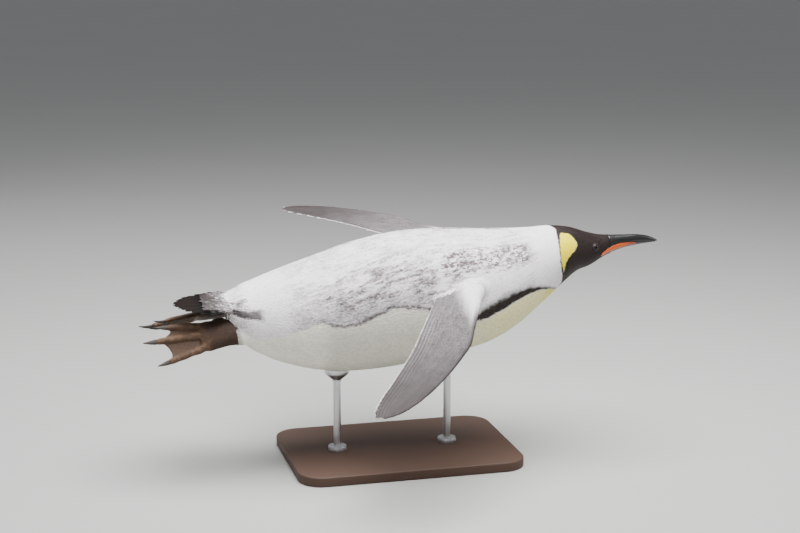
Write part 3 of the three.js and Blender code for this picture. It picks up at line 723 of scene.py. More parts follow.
def skin_blank():
    """The separate shells that are fused into one skin, in bird-frame millimetres, each with its rings
    and the sides of a ring."""
    bm = bmesh.new()
    shell(skin_body, 150, 72, bm)
    shell(skin_tail, 16, 40, bm)
    halves = [(skin_wing, 90, 44), (skin_tarsus, 26, 32), (skin_hind_toe, 12, 16)]
    halves += [(skin_toe(toe), 40, 20) for toe in TOES.values()]
    halves += [(skin_web(TOES[first], TOES[second]), 24, 48) for first, second in WEBS]
    left = bmesh.new()
    for place, rings, sides in halves:
        shell(place, rings, sides, left)
    half = bpy.data.meshes.new("half")
    left.to_mesh(half)
    left.free()
    bm.from_mesh(half)
    half.transform(Matrix.Scale(-1, 4, (0, 1, 0)))
    half.flip_normals()
    bm.from_mesh(half)
    bpy.data.meshes.remove(half)
    return bm


def modified(mesh, *steps):
    """The mesh with modifiers applied, each step a type and its settings."""
    obj = in_scene("blank", mesh)
    for kind, settings in steps:
        modifier = obj.modifiers.new(kind.title(), kind)
        for key, value in settings.items():
            setattr(modifier, key, value)
    graph = bpy.context.evaluated_depsgraph_get()
    made = bpy.data.meshes.new_from_object(obj.evaluated_get(graph))
    bpy.data.objects.remove(obj)
    return made


def relax(mesh, weight, rounds):
    """Evens the surface out as a smoothing brush does, as much as each vertex's weight says."""
    edges = np.empty(2 * len(mesh.edges), np.int64)
    mesh.edges.foreach_get("vertices", edges)
    a, b = edges.reshape(-1, 2).T
    live = (weight[a] > 0) | (weight[b] > 0)
    ends, others = np.concatenate([a[live], b[live]]), np.concatenate([b[live], a[live]])
    share = np.maximum(np.bincount(ends, minlength=len(weight)), 1)
    points = positions(mesh)
    for _ in range(rounds):
        mean = [np.bincount(ends, points[others, k], len(weight)) / share for k in range(3)]
        points += 0.5 * weight[:, None] * (np.stack(mean, 1) - points)
    mesh.vertices.foreach_set("co", points.ravel())


def smooth_roots(mesh):
    """Eases the hollows where the flippers, shanks and tail leave the body."""
    points = to_bird(positions(mesh))
    _, _, outside = body_place(points)
    left = on_left(points)
    s, back, height = wing_place(left)
    thick = between(WING, s)[:, 2] * WING_FULLNESS * (1 - WING_THINNING * back.clip(0, 1))
    proud = np.abs(height) - thick * 2 * np.sqrt((back * (1 - back)).clip(0))
    beside = plateau(-0.30, -0.12, 0.08, 0.20, s) * plateau(-0.5, -0.25, 1.1, 1.35, back)
    near_wing = ease(30, 10, np.abs(outside)) * ease(26, 8, np.abs(proud)) * beside
    edge = np.exp(-((back - 1.0) / 0.18) ** 2)
    relax(mesh, near_wing * (1 - 0.75 * edge), 90)
    u = foot_place(left)[0]
    near_leg = plateau(-64, -52, -8, 2, u) * ease(14, 6, np.abs(outside)) * (points[:, 0] < -235)
    near_tail = plateau(-350, -338, -292, -280, points[:, 0]) * ease(36, 44, points[:, 2])
    relax(mesh, np.maximum(near_leg, near_tail * 0.8), 24)


def shape_lids(mesh):
    """Raises the lids round both eyes, on a finer patch of the skin."""
    bm = bmesh.new()
    bm.from_mesh(mesh)
    for mirror in (1, -1):
        a, c, h = lid_place(np.array([v.co for v in bm.verts]), mirror)
        near = (np.hypot(a, c) < LID_REACH + 0.1) & (h > 0)
        bm.verts.index_update()
        edges = [e for e in bm.edges if near[e.verts[0].index] and near[e.verts[1].index]]
        bmesh.ops.subdivide_edges(bm, edges=edges, cuts=3, use_grid_fill=True)
        bmesh.ops.triangulate(bm, faces=[f for f in bm.faces if len(f.verts) > 3])
        centre, out, ahead, across = eye_frame()
        a, c, h = lid_place(np.array([v.co for v in bm.verts]), mirror)
        reach = np.hypot(a, c)
        opening = np.hypot(a / LID_LONG, c / LID_TALL)
        ball = np.sqrt(EYE_RADIUS**2 - reach.clip(0, EYE_RADIUS - 0.6) ** 2)
        rim = ball - 1.5 + 2.2 * ease(0.90, 1.14, opening)
        fold = 0.22 * np.exp(-((opening - 1.72) / 0.12) ** 2) * ease(-0.5, 0.4, c / np.maximum(reach, 0.1))
        fade = ease(1.22, 2.15, opening)
        level = rim * (1 - fade) + h * fade - fold
        level = h + (level - h) * ease(LID_REACH, 9.6, reach)
        bm.verts.ensure_lookup_table()
        for i in np.flatnonzero((reach < LID_REACH) & (h > 0)):
            place = centre + ahead * a[i] + across * c[i] + out * level[i]
            bm.verts[i].co = to_world(place * flipped(mirror))
    bm.to_mesh(mesh)
    bm.free()


def lid_place(points, mirror):
    """Places ahead of, above and out from the middle of an eye, in millimetres."""
    centre, out, ahead, across = eye_frame()
    off = to_bird(points) * flipped(mirror) - centre
    return off @ ahead, off @ across, off @ out


def skin_marks(mesh):
    """The plumage markings and the bare parts, on every vertex of the skin."""
    points = to_bird(positions(mesh))
    x, angle, outside = body_place(points)
    marks = np.stack(body_marks(x, angle), -1)
    left = on_left(points)
    s, back, height = wing_place(left)
    on_wing = (outside > 3) & (s > -0.02) & (np.abs(back - 0.5) < 0.7) & (points[:, 0] > -120)
    marks[on_wing] = wing_marks(s[on_wing], back[on_wing].clip(0, 1), height[on_wing] > 0,
                                points[on_wing, 1] > 0).T
    u, v, w = foot_place(left)
    half, thick = columns(TARSUS, u)
    in_tarsus = np.hypot(v / half, w / thick) < 1.2
    hind = sum(((at - middle) / (radius + 4)) ** 2
               for at, middle, radius in zip((u, v, w), HIND_TOE, HIND_TOE_RADII)) < 1
    bare = ease(-3, 2, u) * (in_tarsus | hind | ((u > 58) & (np.abs(w) < 15)))
    # Painted shade: the skin under the tail feathers is made dark.
    tail = (points[:, 0] < -309) & (bare < 0.5)
    marks[tail] = TAIL_SHADE_MARKS
    add_attribute(mesh, "marks", marks)
    near = np.full(len(points), np.inf)
    for (u0, v0), (u1, v1), r0, r1, _, _ in TOES.values():
        run, rise = u1 - u0, v1 - v0
        t = np.clip(((u - u0) * run + (v - v0) * rise) / (run**2 + rise**2), 0, 1)
        near = np.minimum(near, np.hypot(u - u0 - t * run, v - v0 - t * rise) / (r0 + t * (r1 - r0)))
    web = ease(0.75, 1.25, near) * ease(54, 66, u) * bare
    shank = ease(72, 44, u) * bare
    lid = ease(1.75, 1.4, from_eye(left)[0]) * (points[:, 0] > 350)
    add_attribute(mesh, "bare", np.stack([bare, web, lid, shank], -1))


def make_skin():
    """One closed skin for the bird, fused from its parts, with lids, toes and webs."""
    settings = bpy.context.scene.penguin_coat
    mesh = mesh_of(skin_blank(), "penguin_skin")
    mesh.transform(Matrix.Translation((0, 0, BODY_HEIGHT * MM)) @ Matrix.Rotation(-NOSE_UP, 4, "Y")
                   @ Matrix.Rotation(BANK, 4, "X") @ Matrix.Scale(MM, 4))
    voxel = settings.voxel
    fused = modified(mesh, ("REMESH", dict(mode="VOXEL", voxel_size=voxel, adaptivity=0.0)))
    smooth_roots(fused)
    share = min(1.0, settings.skin_triangles / (2 * len(fused.polygons)))
    fused = modified(fused, ("SMOOTH", dict(factor=0.4, iterations=2)), ("DECIMATE", dict(ratio=share)))
    shape_lids(fused)
    fused.name = "penguin_skin"
    skin_marks(fused)
    flesh = ["head", "neck", "trunk", "tail", "leg_left", "leg_right", "foot_left", "foot_right",
             "wing_left", "wing_right"]
    keep("penguin_skin", fused, [skin_material()], flesh, "silver_feather")


# ---- vanes
class SkinSurface:
    """Finds the nearest place on the finished skin and the way that it faces there."""

    def __init__(self):
        mesh = bpy.data.objects["penguin_skin"].data
        self.points = positions(mesh)
        faces = [tuple(p.vertices) for p in mesh.polygons]
        self.tree = BVHTree.FromPolygons([Vector(p) for p in self.points], faces)
        normals = np.empty(len(mesh.vertices) * 3)
        mesh.vertices.foreach_get("normal", normals)
        normals = normals.reshape(-1, 3)
        self.normals = unit(normals[np.array([f[:3] for f in faces])].mean(axis=1))

    def nearest(self, points):
        """Nearest places, the ways out of the skin there, and the distances."""
        found = [self.tree.find_nearest(p) for p in points]
        place = np.array([f[0] for f in found])
        return place, self.normals[[f[2] for f in found]], np.array([f[3] for f in found])

    def gap(self, points):
        """How far bird-frame places are from the skin, in metres."""
        return self.nearest(to_world(points))[2]


def vane_faces():
    """Corners of the triangles of one vane: a flat closed lens with six edges."""
    rim = len(VANE_OUTLINE)
    top = [(rim, (i + 1) % rim, i) for i in range(rim)]
    bottom = [(rim + 1, i, (i + 1) % rim) for i in range(rim)]
    return np.array(top + bottom)


def lay_vanes(surface, root, tip, chart, length, width, lift, rng, turn=0.10, sink=0.25, droop=0.08,
              level=None):
    """Vanes rooted on the skin and lying along it. root and tip are analytic bird-frame places, and
    chart is each root's place on its region's unwrap, from 0 to 1. level leans every vane to a plane."""
    root_at, root_up, _ = surface.nearest(to_world(root))
    tip_at, tip_up, _ = surface.nearest(to_world(tip))
    if level is not None:
        root_up, tip_up = unit(root_up + level), unit(tip_up + level)
    lie = tip_at - root_at
    good = (np.linalg.norm(lie, axis=1) > length * MM * LEAST_LIE)
    good = good & ((root_up * tip_up).sum(axis=1) > LEAST_AGREEMENT)
    root_at, root_up, tip_up, lie = root_at[good], root_up[good], tip_up[good], unit(lie[good])
    chart, length, width, lift = chart[good], length[good], width[good], lift[good]
    count = len(lie)
    length = length * rng.uniform(0.9, 1.12, count)
    width = width * rng.uniform(0.9, 1.1, count)
    up = unit(root_up + tip_up)
    side = unit(np.cross(up, lie))
    yaw = rng.normal(0, turn, count)[:, None]
    lie = unit(lie + side * yaw)
    side = unit(np.cross(up, lie))
    roll = rng.normal(0, VANE_ROLL, count)[:, None]
    thick = (VANE_THICK[0] * length + VANE_THICK[1])[:, None]
    length, width, lift = length[:, None], width[:, None], lift[:, None]
    corners = []
    for (t, s), bulge in zip(VANE_SHAPE, VANE_BULGE):
        normal = unit(root_up * (1 - t) + tip_up * t)
        rise = -sink + (lift + sink) * t ** VANE_CURVE - droop * width * s * s * 0.5 + roll * s * width * 0.5
        rise = rise + thick * bulge
        corners.append(root_at + (lie * length * t + side * (s * width / 2) + normal * rise) * MM)
    return np.stack(corners, 1), chart, good


def coat_piece(name, corners, chart, marks, pick, slot, material):
    """One coat piece from its vanes' corners, with their markings and the map for baking. pick is one
    random number for each vane."""
    count, each = corners.shape[:2]
    faces = (vane_faces()[None] + each * np.arange(count)[:, None, None]).reshape(-1, 3)
    mesh = bpy.data.meshes.new(name)
    mesh.vertices.add(each * count)
    mesh.vertices.foreach_set("co", corners.reshape(-1))
    mesh.loops.add(faces.size)
    mesh.loops.foreach_set("vertex_index", faces.ravel())
    mesh.polygons.add(len(faces))
    mesh.polygons.foreach_set("loop_start", np.arange(0, faces.size, 3))
    mesh.update(calc_edges=True)
    shape = np.array(VANE_SHAPE)
    patch = np.stack([shape[:, 0] - 0.5, shape[:, 1] * 0.5], 1) * VANE_PATCH
    span = np.clip(chart, 0, 1) * (1 - 2 * VANE_PATCH) + VANE_PATCH
    uv = (span[:, None, :] + patch[None]).reshape(-1, 2)
    layer = mesh.uv_layers.new(name="OFBake")
    layer.data.foreach_set("uv", uv[faces.ravel()].ravel())
    add_attribute(mesh, "marks", np.repeat(marks, each, axis=0))
    vane = np.zeros((count, each, 3))
    vane[:, :, 0] = shape[:, 0]
    vane[:, :, 1] = shape[:, 1] * 0.5 + 0.5
    vane[:, :, 2] = pick[:, None]
    add_attribute(mesh, "vane", vane.reshape(-1, 3))
    return keep(name, mesh, [material], (), slot, smooth=False)


def lay_coat(name, slot, material, surface, rng, root, tip, chart, sizes, marks, **shape):
    """One coat piece of vanes laid on the skin. sizes holds their lengths, widths and lifts."""
    corners, chart, good = lay_vanes(surface, root, tip, chart, *sizes, rng, **shape)
    pick = rng.uniform(0, 1, len(corners))
    coat_piece(name, corners, chart, marks[good], pick, slot, material)


def fit_chart(*axes):
    """Scales two chart coordinates to run from 0 to 1."""
    chart = np.stack(axes, 1)
    low, high = chart.min(axis=0), chart.max(axis=0)
    return (chart - low) / np.maximum(high - low, 1e-9)


def body_roots(start, end, rng):
    """Staggered rows of feather places over the body, as x and angle."""
    places, x, row = [], start, 0
    while x < end:
        long = coat_length(x)
        half, _, tall = body_section(np.array([x, x + 1.0]))
        stretch = math.hypot(1, (half[1] + tall[1] - half[0] - tall[0]) / 2)
        girth = math.pi * (half[0] + tall[0])
        count = max(8, round(girth / (long * CROWDING)))
        angle = staggered(count, row, 0.16, rng) * TURN
        along = x + rng.uniform(-0.12, 0.12, count) * long * 0.5
        places.append(np.stack([along, angle], 1))
        x += long * ROW_STEP / stretch
        row += 1
    return np.concatenate(places)


def body_vanes(surface, places, rng):
    """Vanes at places of the body, with those places, their markings and a random number for each;
    none where the skin is elsewhere."""
    x, angle = places[:, 0], places[:, 1] % TURN
    long = coat_length(x)
    tip = body_point(np.maximum(x - long, RUMP_END + 1.0), angle, -coat_depth(x))
    root = body_point(x, angle, -coat_depth(x))
    off = surface.gap(root)
    use = (off < 0.0045 + 0.006 * ((x > 20) & (x < 170))) & ~off_face(x, angle)
    marks = np.stack(body_marks(x - long * 0.8, angle), -1)
    ruffle = marks[:, 3]
    lift = (BODY_LIFT + LIFT_SLOPE * long) * (0.85 + 0.5 * ruffle * rng.uniform(0, 1, len(x)))
    corners, places, good = lay_vanes(surface, root[use], tip[use], places[use], long[use],
                                      BODY_FEATHER * long[use], lift[use], rng)
    return corners, places, marks[use][good], rng.uniform(0, 1, len(corners))


def plate_edges(t):
    """Upper and lower edge of the bill's coloured plate, from the mouth line."""
    top = -PLATE_REAR_DROP * (1 - t / PLATE_REAR_SHARE).clip(0, 1) ** 1.75
    return top, -(PLATE_HEIGHT + (PLATE_TIP_HEIGHT - PLATE_HEIGHT) * t)


def off_face(x, angle):
    """True where the face has no feathers: the eye, the plate beside the gape and the mouth line."""
    place = body_point(x, angle)
    place[:, 1] = np.abs(place[:, 1])
    reach, out = from_eye(place)
    bare_eye = (reach < LID_BARE) & (out > 0)
    height = place[:, 2] - mouth_height(x)
    t = (x - PLATE_START) / (PLATE_END - PLATE_START)
    top, low = plate_edges(t)
    bare_plate = (x > PLATE_START - 1.5) & (height < top + 0.2) & (height > low - 0.8)
    bare_mouth = (x > GAPE) & (np.abs(height) < 0.8)
    return bare_eye | bare_plate | bare_mouth


def make_body_coat(first, last, pieces, seed):
    """Coats the body between two x, split into named pieces by their own tests of x and angle."""
    rng = np.random.default_rng(seed)
    corners, places, marks, pick = body_vanes(SkinSurface(), body_roots(first, last, rng), rng)
    angle = np.arctan2(np.sin(places[:, 1]), np.cos(places[:, 1]))
    for name, slot, test in pieces:
        use = test(places[:, 0], angle)
        chart = fit_chart(places[use, 0], places[use, 1])
        coat_piece(name, corners[use], chart, marks[use], pick[use], slot, plumage_material())


def wing_chord(s):
    """The flipper's width at s."""
    lead, trail, _ = columns(WING, s)
    return lead + trail


def wing_length(s):
    """Length of the flipper's feathers: longest at its root."""
    return 6.6 - 1.9 * ease(0.0, 1.0, s) - 1.5 * ease(0.9, 1.0, s)


def wing_roots(rng):
    """Staggered rows of feather places over a face of the flipper, as s and back, inside its margins."""
    s_rows, back_rows = [], []
    s, row = 1.0, 0
    while s > -0.06:
        long = wing_length(s)
        count = max(6, round(wing_chord(s) / (long * WING_CROWDING)))
        back = staggered(count, row, 0.15, rng, 0.25)
        bow = 0.018 * (back - 0.5)
        s_rows.append(s + bow + rng.uniform(-0.06, 0.06, count) * long / WING_SPAN)
        back_rows.append(back)
        s -= long * WING_ROW_STEP / WING_SPAN
        row += 1
    s, back = np.concatenate(s_rows), np.concatenate(back_rows)
    chord = wing_chord(s)
    inside = (back * chord > WING_EDGE_FRONT) & ((1 - back) * chord > WING_EDGE_REAR) & (s < 0.987)
    return s[inside], back[inside]


def make_wing_coat(side_name, mirror, upper):
    """Scale-like feathers of one face of a flipper, lying to its tip and a little to its rear edge."""
    rng = np.random.default_rng(40 + mirror + 2 * upper)
    surface = SkinSurface()
    s, back = wing_roots(rng)
    long, chord = wing_length(s), wing_chord(s)
    face = 1 if upper else -1
    root = wing_point(s, back, face, -WING_DEPTH)
    tip_s = s + long * 0.95 / WING_SPAN
    tip_back = np.minimum(back + long * WING_SLANT / chord, 1 - 1.8 / chord)
    tip = wing_point(np.minimum(tip_s, 1.0), tip_back, face, -WING_DEPTH)
    tip = tip + np.maximum(tip_s - 1.0, 0)[:, None] * WING_SPAN * wing_axes()[0]
    flip = flipped(mirror)
    root, tip = root * flip, tip * flip
    outside, off = body_place(root)[2], surface.gap(root)
    use = (off < 0.003 + 0.02 * ease(0.24, 0.18, s)) & (outside > -1.5)
    marks = wing_marks(s, back, upper, mirror > 0).T
    at_edge = ease(7, 2, (1 - back) * chord)
    width = WING_FEATHER * long * (1 - 0.45 * at_edge)
    lift = (WING_LIFT + LIFT_SLOPE * long) * (0.9 + 0.3 * rng.uniform(0, 1, len(s))) * (1 - 0.5 * at_edge)
    plane = to_world(np.stack([wing_axes()[2] * flip, (0, 0, 0)]))
    level = unit(plane[0] - plane[1]) * face * 1.5 * ease(0.1, 0.3, s[use])[:, None]
    name = f"coat_wing_{side_name}_{'upper' if upper else 'under'}"
    lay_coat(name, "silver_feather", plumage_material(), surface, rng, root[use], tip[use],
             fit_chart(s[use], back[use]), (long[use], width[use], lift[use]), marks[use],
             turn=0.06, sink=0.15, level=level)


# ---- legs, feet and tail
def make_leg_coat(side_name, mirror):
    """Short feathers down a shank to the ankle."""
    rng = np.random.default_rng(60 + mirror)
    surface = SkinSurface()
    rows = [(np.full(LEG_COUNT, u), staggered(LEG_COUNT, row, 0.15, rng) * TURN)
            for row, u in enumerate(np.arange(*LEG_ROWS))]
    u, angle = np.concatenate(rows, axis=1)
    root = leg_surface(u, angle, LEG_DEPTH) * flipped(mirror)
    tip = leg_surface(u + LEG_LONG, angle, LEG_DEPTH) * flipped(mirror)
    outside, off = body_place(root)[2], surface.gap(root)
    use = (off < 0.003) & (outside > -0.5)
    root, tip, u, angle = root[use], tip[use], u[use], angle[use]
    size = np.full(len(u), LEG_LONG)
    x, turn, _ = body_place(root)
    marks = np.stack(body_marks(x, turn), -1)
    marks[:, 2] = np.maximum(marks[:, 2], 0.5 * ease(-9, 1, u))
    lay_coat(f"coat_leg_{side_name}", "silver_feather", plumage_material(), surface, rng, root, tip,
             fit_chart(u, angle), (size, size * LEG_FEATHER, size * LEG_LIFT), marks)


def shank_scales(rng):
    """Rings of scales down the bare shank. Each row of this and the next two functions gives roots,
    tips, places on the map for baking, length, width and kind."""
    for row, u in enumerate(np.arange(*SHANK_ROWS)):
        half = between(TARSUS, u)[0]
        count = round(TURN * half * 0.8 / SHANK_GAP)
        turn = staggered(count, row, 0.1, rng) * TURN
        at = np.full(count, u)
        yield (leg_surface(at, turn), leg_surface(at + 3.4, turn), np.stack([at / 160, turn / 12.8], 1),
               *SHANK_SIZE, SHANK_SCALE)


def toe_scales():
    """Broad scutes along the top of each toe and small scales round the rest of it."""
    for index, toe in enumerate(TOES.values()):
        span = toe_length(toe)
        for row, along in enumerate(np.arange(4, span + 1, TOE_STEP)):
            for step in range(TOE_ROUND):
                turn = TURN * (step + 0.5 * (row % 2)) / TOE_ROUND
                size, width = SCUTE_SIZE if -math.sin(turn) > 0.8 else TOE_SIZE
                where = np.array([along, along + size])
                r = toe[2] + (toe[3] - toe[2]) * np.clip(where / span, 0, 1)
                point = beside_toe(toe, where, r * math.cos(turn), TOE_FLATNESS * r * math.sin(turn))
                chart = np.array([[0.42 + along / 190, 0.52 + 0.16 * index + 0.15 * turn / 6.3]])
                yield point[:1], point[1:], chart, size, width, TOE_SCALE


def web_scales():
    """Fine scales over both faces of the webs."""
    for index, (first, second) in enumerate(WEBS):
        place = skin_web(TOES[first], TOES[second])
        for face in (1, -1):
            along, across = np.meshgrid(np.linspace(*WEB_ROWS), np.linspace(*WEB_LINES))
            along, across = along.ravel(), across.ravel() + 0.03 * (np.arange(along.size) % 2)
            angle = np.arccos(1 - 2 * along) * face
            ahead = np.arccos(np.clip(1 - 2 * (along + 0.035), -1, 1)) * face
            strip = 0.55 + 0.1 * (2 * index + (face > 0)) + 0.09 * across
            chart = np.stack([0.02 + 0.4 * along, strip], 1)
            yield place(across, angle), place(across, ahead), chart, *WEB_SIZE, WEB_SCALE


def make_foot_scales(side_name, mirror):
    """Scutes along the toes and finer scales on the shank and webs, thin and overlapping."""
    rng = np.random.default_rng(70 + mirror)
    surface = SkinSurface()
    roots, tips, charts, *sizes = zip(*shank_scales(rng), *toe_scales(), *web_scales())
    counts = [len(root) for root in roots]
    size, width, kind = (np.repeat(np.array(values, float), counts) for values in sizes)
    flip = flipped(mirror)
    root, tip = np.concatenate(roots) * flip, np.concatenate(tips) * flip
    use = surface.gap(root) < 0.0028
    u = foot_place(root * flip)[0]
    marks = np.stack([kind == WEB_SCALE, kind == TOE_SCALE, ease(72, 44, u), 0 * kind], 1)
    lay_coat(f"scales_foot_{side_name}", "foot_leather", scale_material(), surface, rng, root[use], tip[use],
             np.concatenate(charts)[use], (size[use], width[use], size[use] * SCALE_LIFT), marks[use],
             turn=0.04, sink=0.12, droop=0.16)


def tail_blade(base, tip, level):
    """One stiff tail feather from base to tip, level millimetres above the tail's middle surface."""
    def place(t, angle):
        centre = base + (tip - base) * t[..., None]
        x = centre[..., 0]
        middle = between(TAIL, x)[..., 0]
        side = BLADE_WIDTH * (1 - 0.25 * t) * round_end(t, 0.82, 0.19, 0.01) * np.cos(angle)
        thick = BLADE_THICK + SHAFT_RISE * np.exp(-(side / 0.7) ** 2) * (1 - t)
        y = centre[..., 1] + side
        rise = thick * np.sin(angle) - 0.03 * side**2 * (1 - t) + level * (1 - 0.5 * t)
        return np.stack([x, y, middle - TAIL_SAG * y**2 + rise], -1)
    return in_world(place)


def make_tail_feathers():
    """Sixteen stiff tail feathers in a shallow wedge, each a tapered blade with a raised shaft."""
    bm = bmesh.new()
    for index in range(TAIL_BLADES):
        middle = (TAIL_BLADES - 1) / 2
        across = (index - middle) / middle
        reach = abs(across)
        base = np.array((-298.0, 25 * across))
        tip = np.array((straight(TAIL_OUTLINE, 36 * reach), 36.5 * across))
        shell(tail_blade(base, tip, 1.3 * (1 - reach) - 0.9 * (index % 2)), 26, 16, bm)
    mesh = mesh_of(bm, "tail_feathers")
    along = ease(-300, -400, to_bird(positions(mesh))[:, 0])
    add_attribute(mesh, "vane", np.stack([along, 0 * along, 0 * along], 1))
    keep("tail_feathers", mesh, [tail_material()], (), "black_feather")


def make_tail_coverts():
    """Longer feathers that cover the roots of the tail above and below."""
    rng = np.random.default_rng(90)
    surface = SkinSurface()
    xs, angles = [], []
    for row, x in enumerate(np.arange(*COVERT_ROWS)):
        angles.append(staggered(COVERT_COUNT, row, 0.2, rng) * TURN)
        xs.append(x + rng.uniform(-0.8, 0.8, COVERT_COUNT))
    x, angle = np.concatenate(xs), np.concatenate(angles)
    root, tip = tail_surface(x, angle), tail_surface(x - COVERT_REACH, angle)
    outside, off = body_place(root)[2], surface.gap(root)
    use = (off < 0.003) & ((outside > -1) | (x < RUMP_END))
    long = rng.uniform(8.5, 11.5, use.sum()) + 4 * ease(-318, -344, x[use])
    corners, chart, good = lay_vanes(surface, root[use], tip[use], fit_chart(x[use], angle[use]), long,
                                     long * COVERT, long * COVERT_LIFT, rng)
    above = ease(-0.5, 0.1, np.sin(angle[use][good]))
    fade = ease(-302, -338, x[use][good] + rng.normal(0, 7, len(corners)))
    streak = rng.uniform(0, 1, len(corners)) < 0.3 + 0.4 * fade
    dark = np.where(above > 0.5, np.clip(fade * 1.1 - 0.1, 0, 0.97), 0.6 * fade)
    dark = np.where(streak, np.maximum(dark, 0.3 + 0.4 * fade), dark)
    mottle = 0.5 + 0.5 * rng.uniform(0, 1, len(corners))
    marks = np.stack([above, 0 * dark, dark, mottle], 1)
    pick = rng.uniform(0, 1, len(corners))
    coat_piece("coat_tail", corners, chart, marks, pick, "black_feather", plumage_material())


def make_join_coat():
    """Feathers wherever the other pieces leave the skin open, as round the shoulders and the vent, lying
    as their neighbours do."""
    rng = np.random.default_rng(95)
    skin = bpy.data.objects["penguin_skin"].data
    surface = SkinSurface()
    coats = [obj for obj in bpy.data.objects if obj.name.startswith("coat_")]
    vanes = np.concatenate([positions(obj.data).reshape(-1, len(VANE_SHAPE), 3) for obj in coats])
    root, tip = vanes[:, VANE_ROOT], vanes[:, VANE_TIP]
    lies = tip - root
    tree = KDTree(len(root))
    for index, middle in enumerate((root + tip) / 2):
        tree.insert(middle, index)
    tree.balance()
    bare, marks = colours_of(skin, "bare"), colours_of(skin, "marks")
    x = to_bird(surface.points)[:, 0]
    feathered = (bare[:, 0] < 0.3) & (x > -328) & (x < 330)
    faces = np.array([tuple(p.vertices)[:3] for p in skin.polygons])
    faces = faces[feathered[faces].any(axis=1)]
    a, b, c = np.moveaxis(surface.points[faces], 1, 0)
    area = np.linalg.norm(np.cross(b - a, c - a), axis=1) / 2
    faces = np.repeat(faces, np.ceil(area / OPEN_SHARE).astype(int), axis=0)
    share = rng.dirichlet((1, 1, 1), len(faces))[:, :, None]
    points = (surface.points[faces] * share).sum(axis=1)
    reach = OPEN_GAP * np.linalg.norm(lies, axis=1)
    found = [tree.find(point) for point in points]
    is_open = np.array([gap > reach[near] for _, near, gap in found])
    is_open = is_open & ((bare[faces, 0] * share[:, :, 0]).sum(axis=1) < 0.5)
    points = points[is_open]
    # The join feathers take the skin's marks, with its painted shade under the tail and painted highlights on
    # shoulder and rump.
    marks = (marks[faces] * share).sum(axis=1)[is_open]
    lie = np.empty_like(points)
    for index, point in enumerate(points):
        lie[index] = lies[[found[1] for found in tree.find_n(point, 10)]].mean(axis=0)
    long = np.linalg.norm(lie, axis=1).clip(0.004, 0.009)
    _, up, _ = surface.nearest(points)
    lie = unit(lie)
    lie = lie - up * (lie * up).sum(axis=1, keepdims=True)
    steep = np.linalg.norm(lie, axis=1) < 0.45
    lie[steep] = (np.array((-0.2, 0, -1)) + up[:, 2:3] * up)[steep]
    start, end = to_bird(points), to_bird(points + unit(lie) * long[:, None])
    x, angle, _ = body_place(start)
    size = long / MM
    lay_coat("coat_joins", "silver_feather", plumage_material(), surface, rng, start, end,
             fit_chart(x, angle), (size, size * JOIN_FEATHER, JOIN_LIFT + JOIN_SLOPE * size), marks)


# ---- bill, eyes and claws
def bill_half(upper):
    """The upper or lower half of the bill: its outside, then the hollowed faces that meet at the mouth."""
    start, end = FEATHER_EDGE - 9, BODY[-1][0] if upper else LOWER_BILL_END
    arc = 0.76  # share of each ring that is the outside

    def place(t, angle):
        x = start + (end - start) * (1 - (1 - t) ** 1.25)
        half, middle, tall = body_section(x)
        tuck = ease(FEATHER_EDGE - 1, FEATHER_EDGE - 7, x)
        half, tall = half - tuck, tall - tuck
        mouth = mouth_height(x) + (0.15 if upper else -0.15)
        rim = np.arccos(np.clip((mouth - middle) / tall, -0.96, 0.96))
        share = (angle % TURN) / TURN
        on_arc = np.clip(share / arc, 0, 1)
        turn = rim * (2 * on_arc - 1) if upper else rim + (TURN - 2 * rim) * on_arc
        groove = np.exp(-((np.abs(turn) - 1.0) / 0.16) ** 2) * plateau(413, 428, 434, 450, x)
        keel = np.exp(-(turn / 0.35) ** 2) * ease(420, 450, x)
        off = (0.35 * keel - 0.55 * groove) if upper else 0 * x
        y, z = (half + off) * np.sin(turn), middle + (tall + off) * np.cos(turn)
        lip = np.clip((share - arc) / (1 - arc), 0, 1)
        edge = half * np.sin(rim) * (1 if upper else -1)
        hollow = (1 if upper else -1) * 0.16 * half * np.sin(math.pi * lip)
        flat = share > arc
        y = np.where(flat, edge * (1 - 2 * lip), y)
        z = np.where(flat, mouth + hollow, z)
        return np.stack([x, y, z], -1)
    return in_world(place)


def make_bill():
    """Both halves of the bill, with the ridge, nostril grooves and cutting edges, and the two plates."""
    for node, upper in (("bill_upper", True), ("bill_lower", False)):
        mesh = mesh_of(shell(bill_half(upper), 76, 64), node + "_horn")
        keep(node + "_horn", mesh, [horn_material()], [node], "bill_horn")
    for side_name, mirror in SIDES:
        node = f"bill_plate_{side_name}"
        mesh = mesh_of(shell(in_world(plate_place, mirror), 60, 28), node + "_horn")
        x = to_bird(positions(mesh))[:, 0]
        add_attribute(mesh, "along", np.stack([(x - PLATE_START) / (PLATE_END - PLATE_START)] * 3, 1))
        keep(node + "_horn", mesh, [plate_material()], [node], "bill_orange")


def plate_place(t, angle):
    """The coloured plate of the lower bill: a thin lens that follows the bill's side."""
    x = PLATE_START + (PLATE_END - PLATE_START) * t
    top, low = plate_edges(t)
    top, low = mouth_height(x) - 0.8 + top, mouth_height(x) + low
    end = round_end(t, 0.9, 0.105, 0.004) * np.sqrt(np.clip(t / 0.03, 0.02, 1))
    centre, reach = (top + low) / 2, (top - low) / 2 * end
    z = centre + reach * np.cos(angle)
    half, middle, tall = body_section(x)
    turn = np.arccos(np.clip((z - middle) / tall, -0.97, 0.97))
    wave = np.sign(np.sin(angle)) * np.abs(np.sin(angle)) ** 0.6
    off = PLATE_PROUD - PLATE_THICK / 2 + PLATE_THICK / 2 * wave
    return np.stack([x, (half + off) * np.sin(turn), middle + (tall + off) * np.cos(turn)], -1)


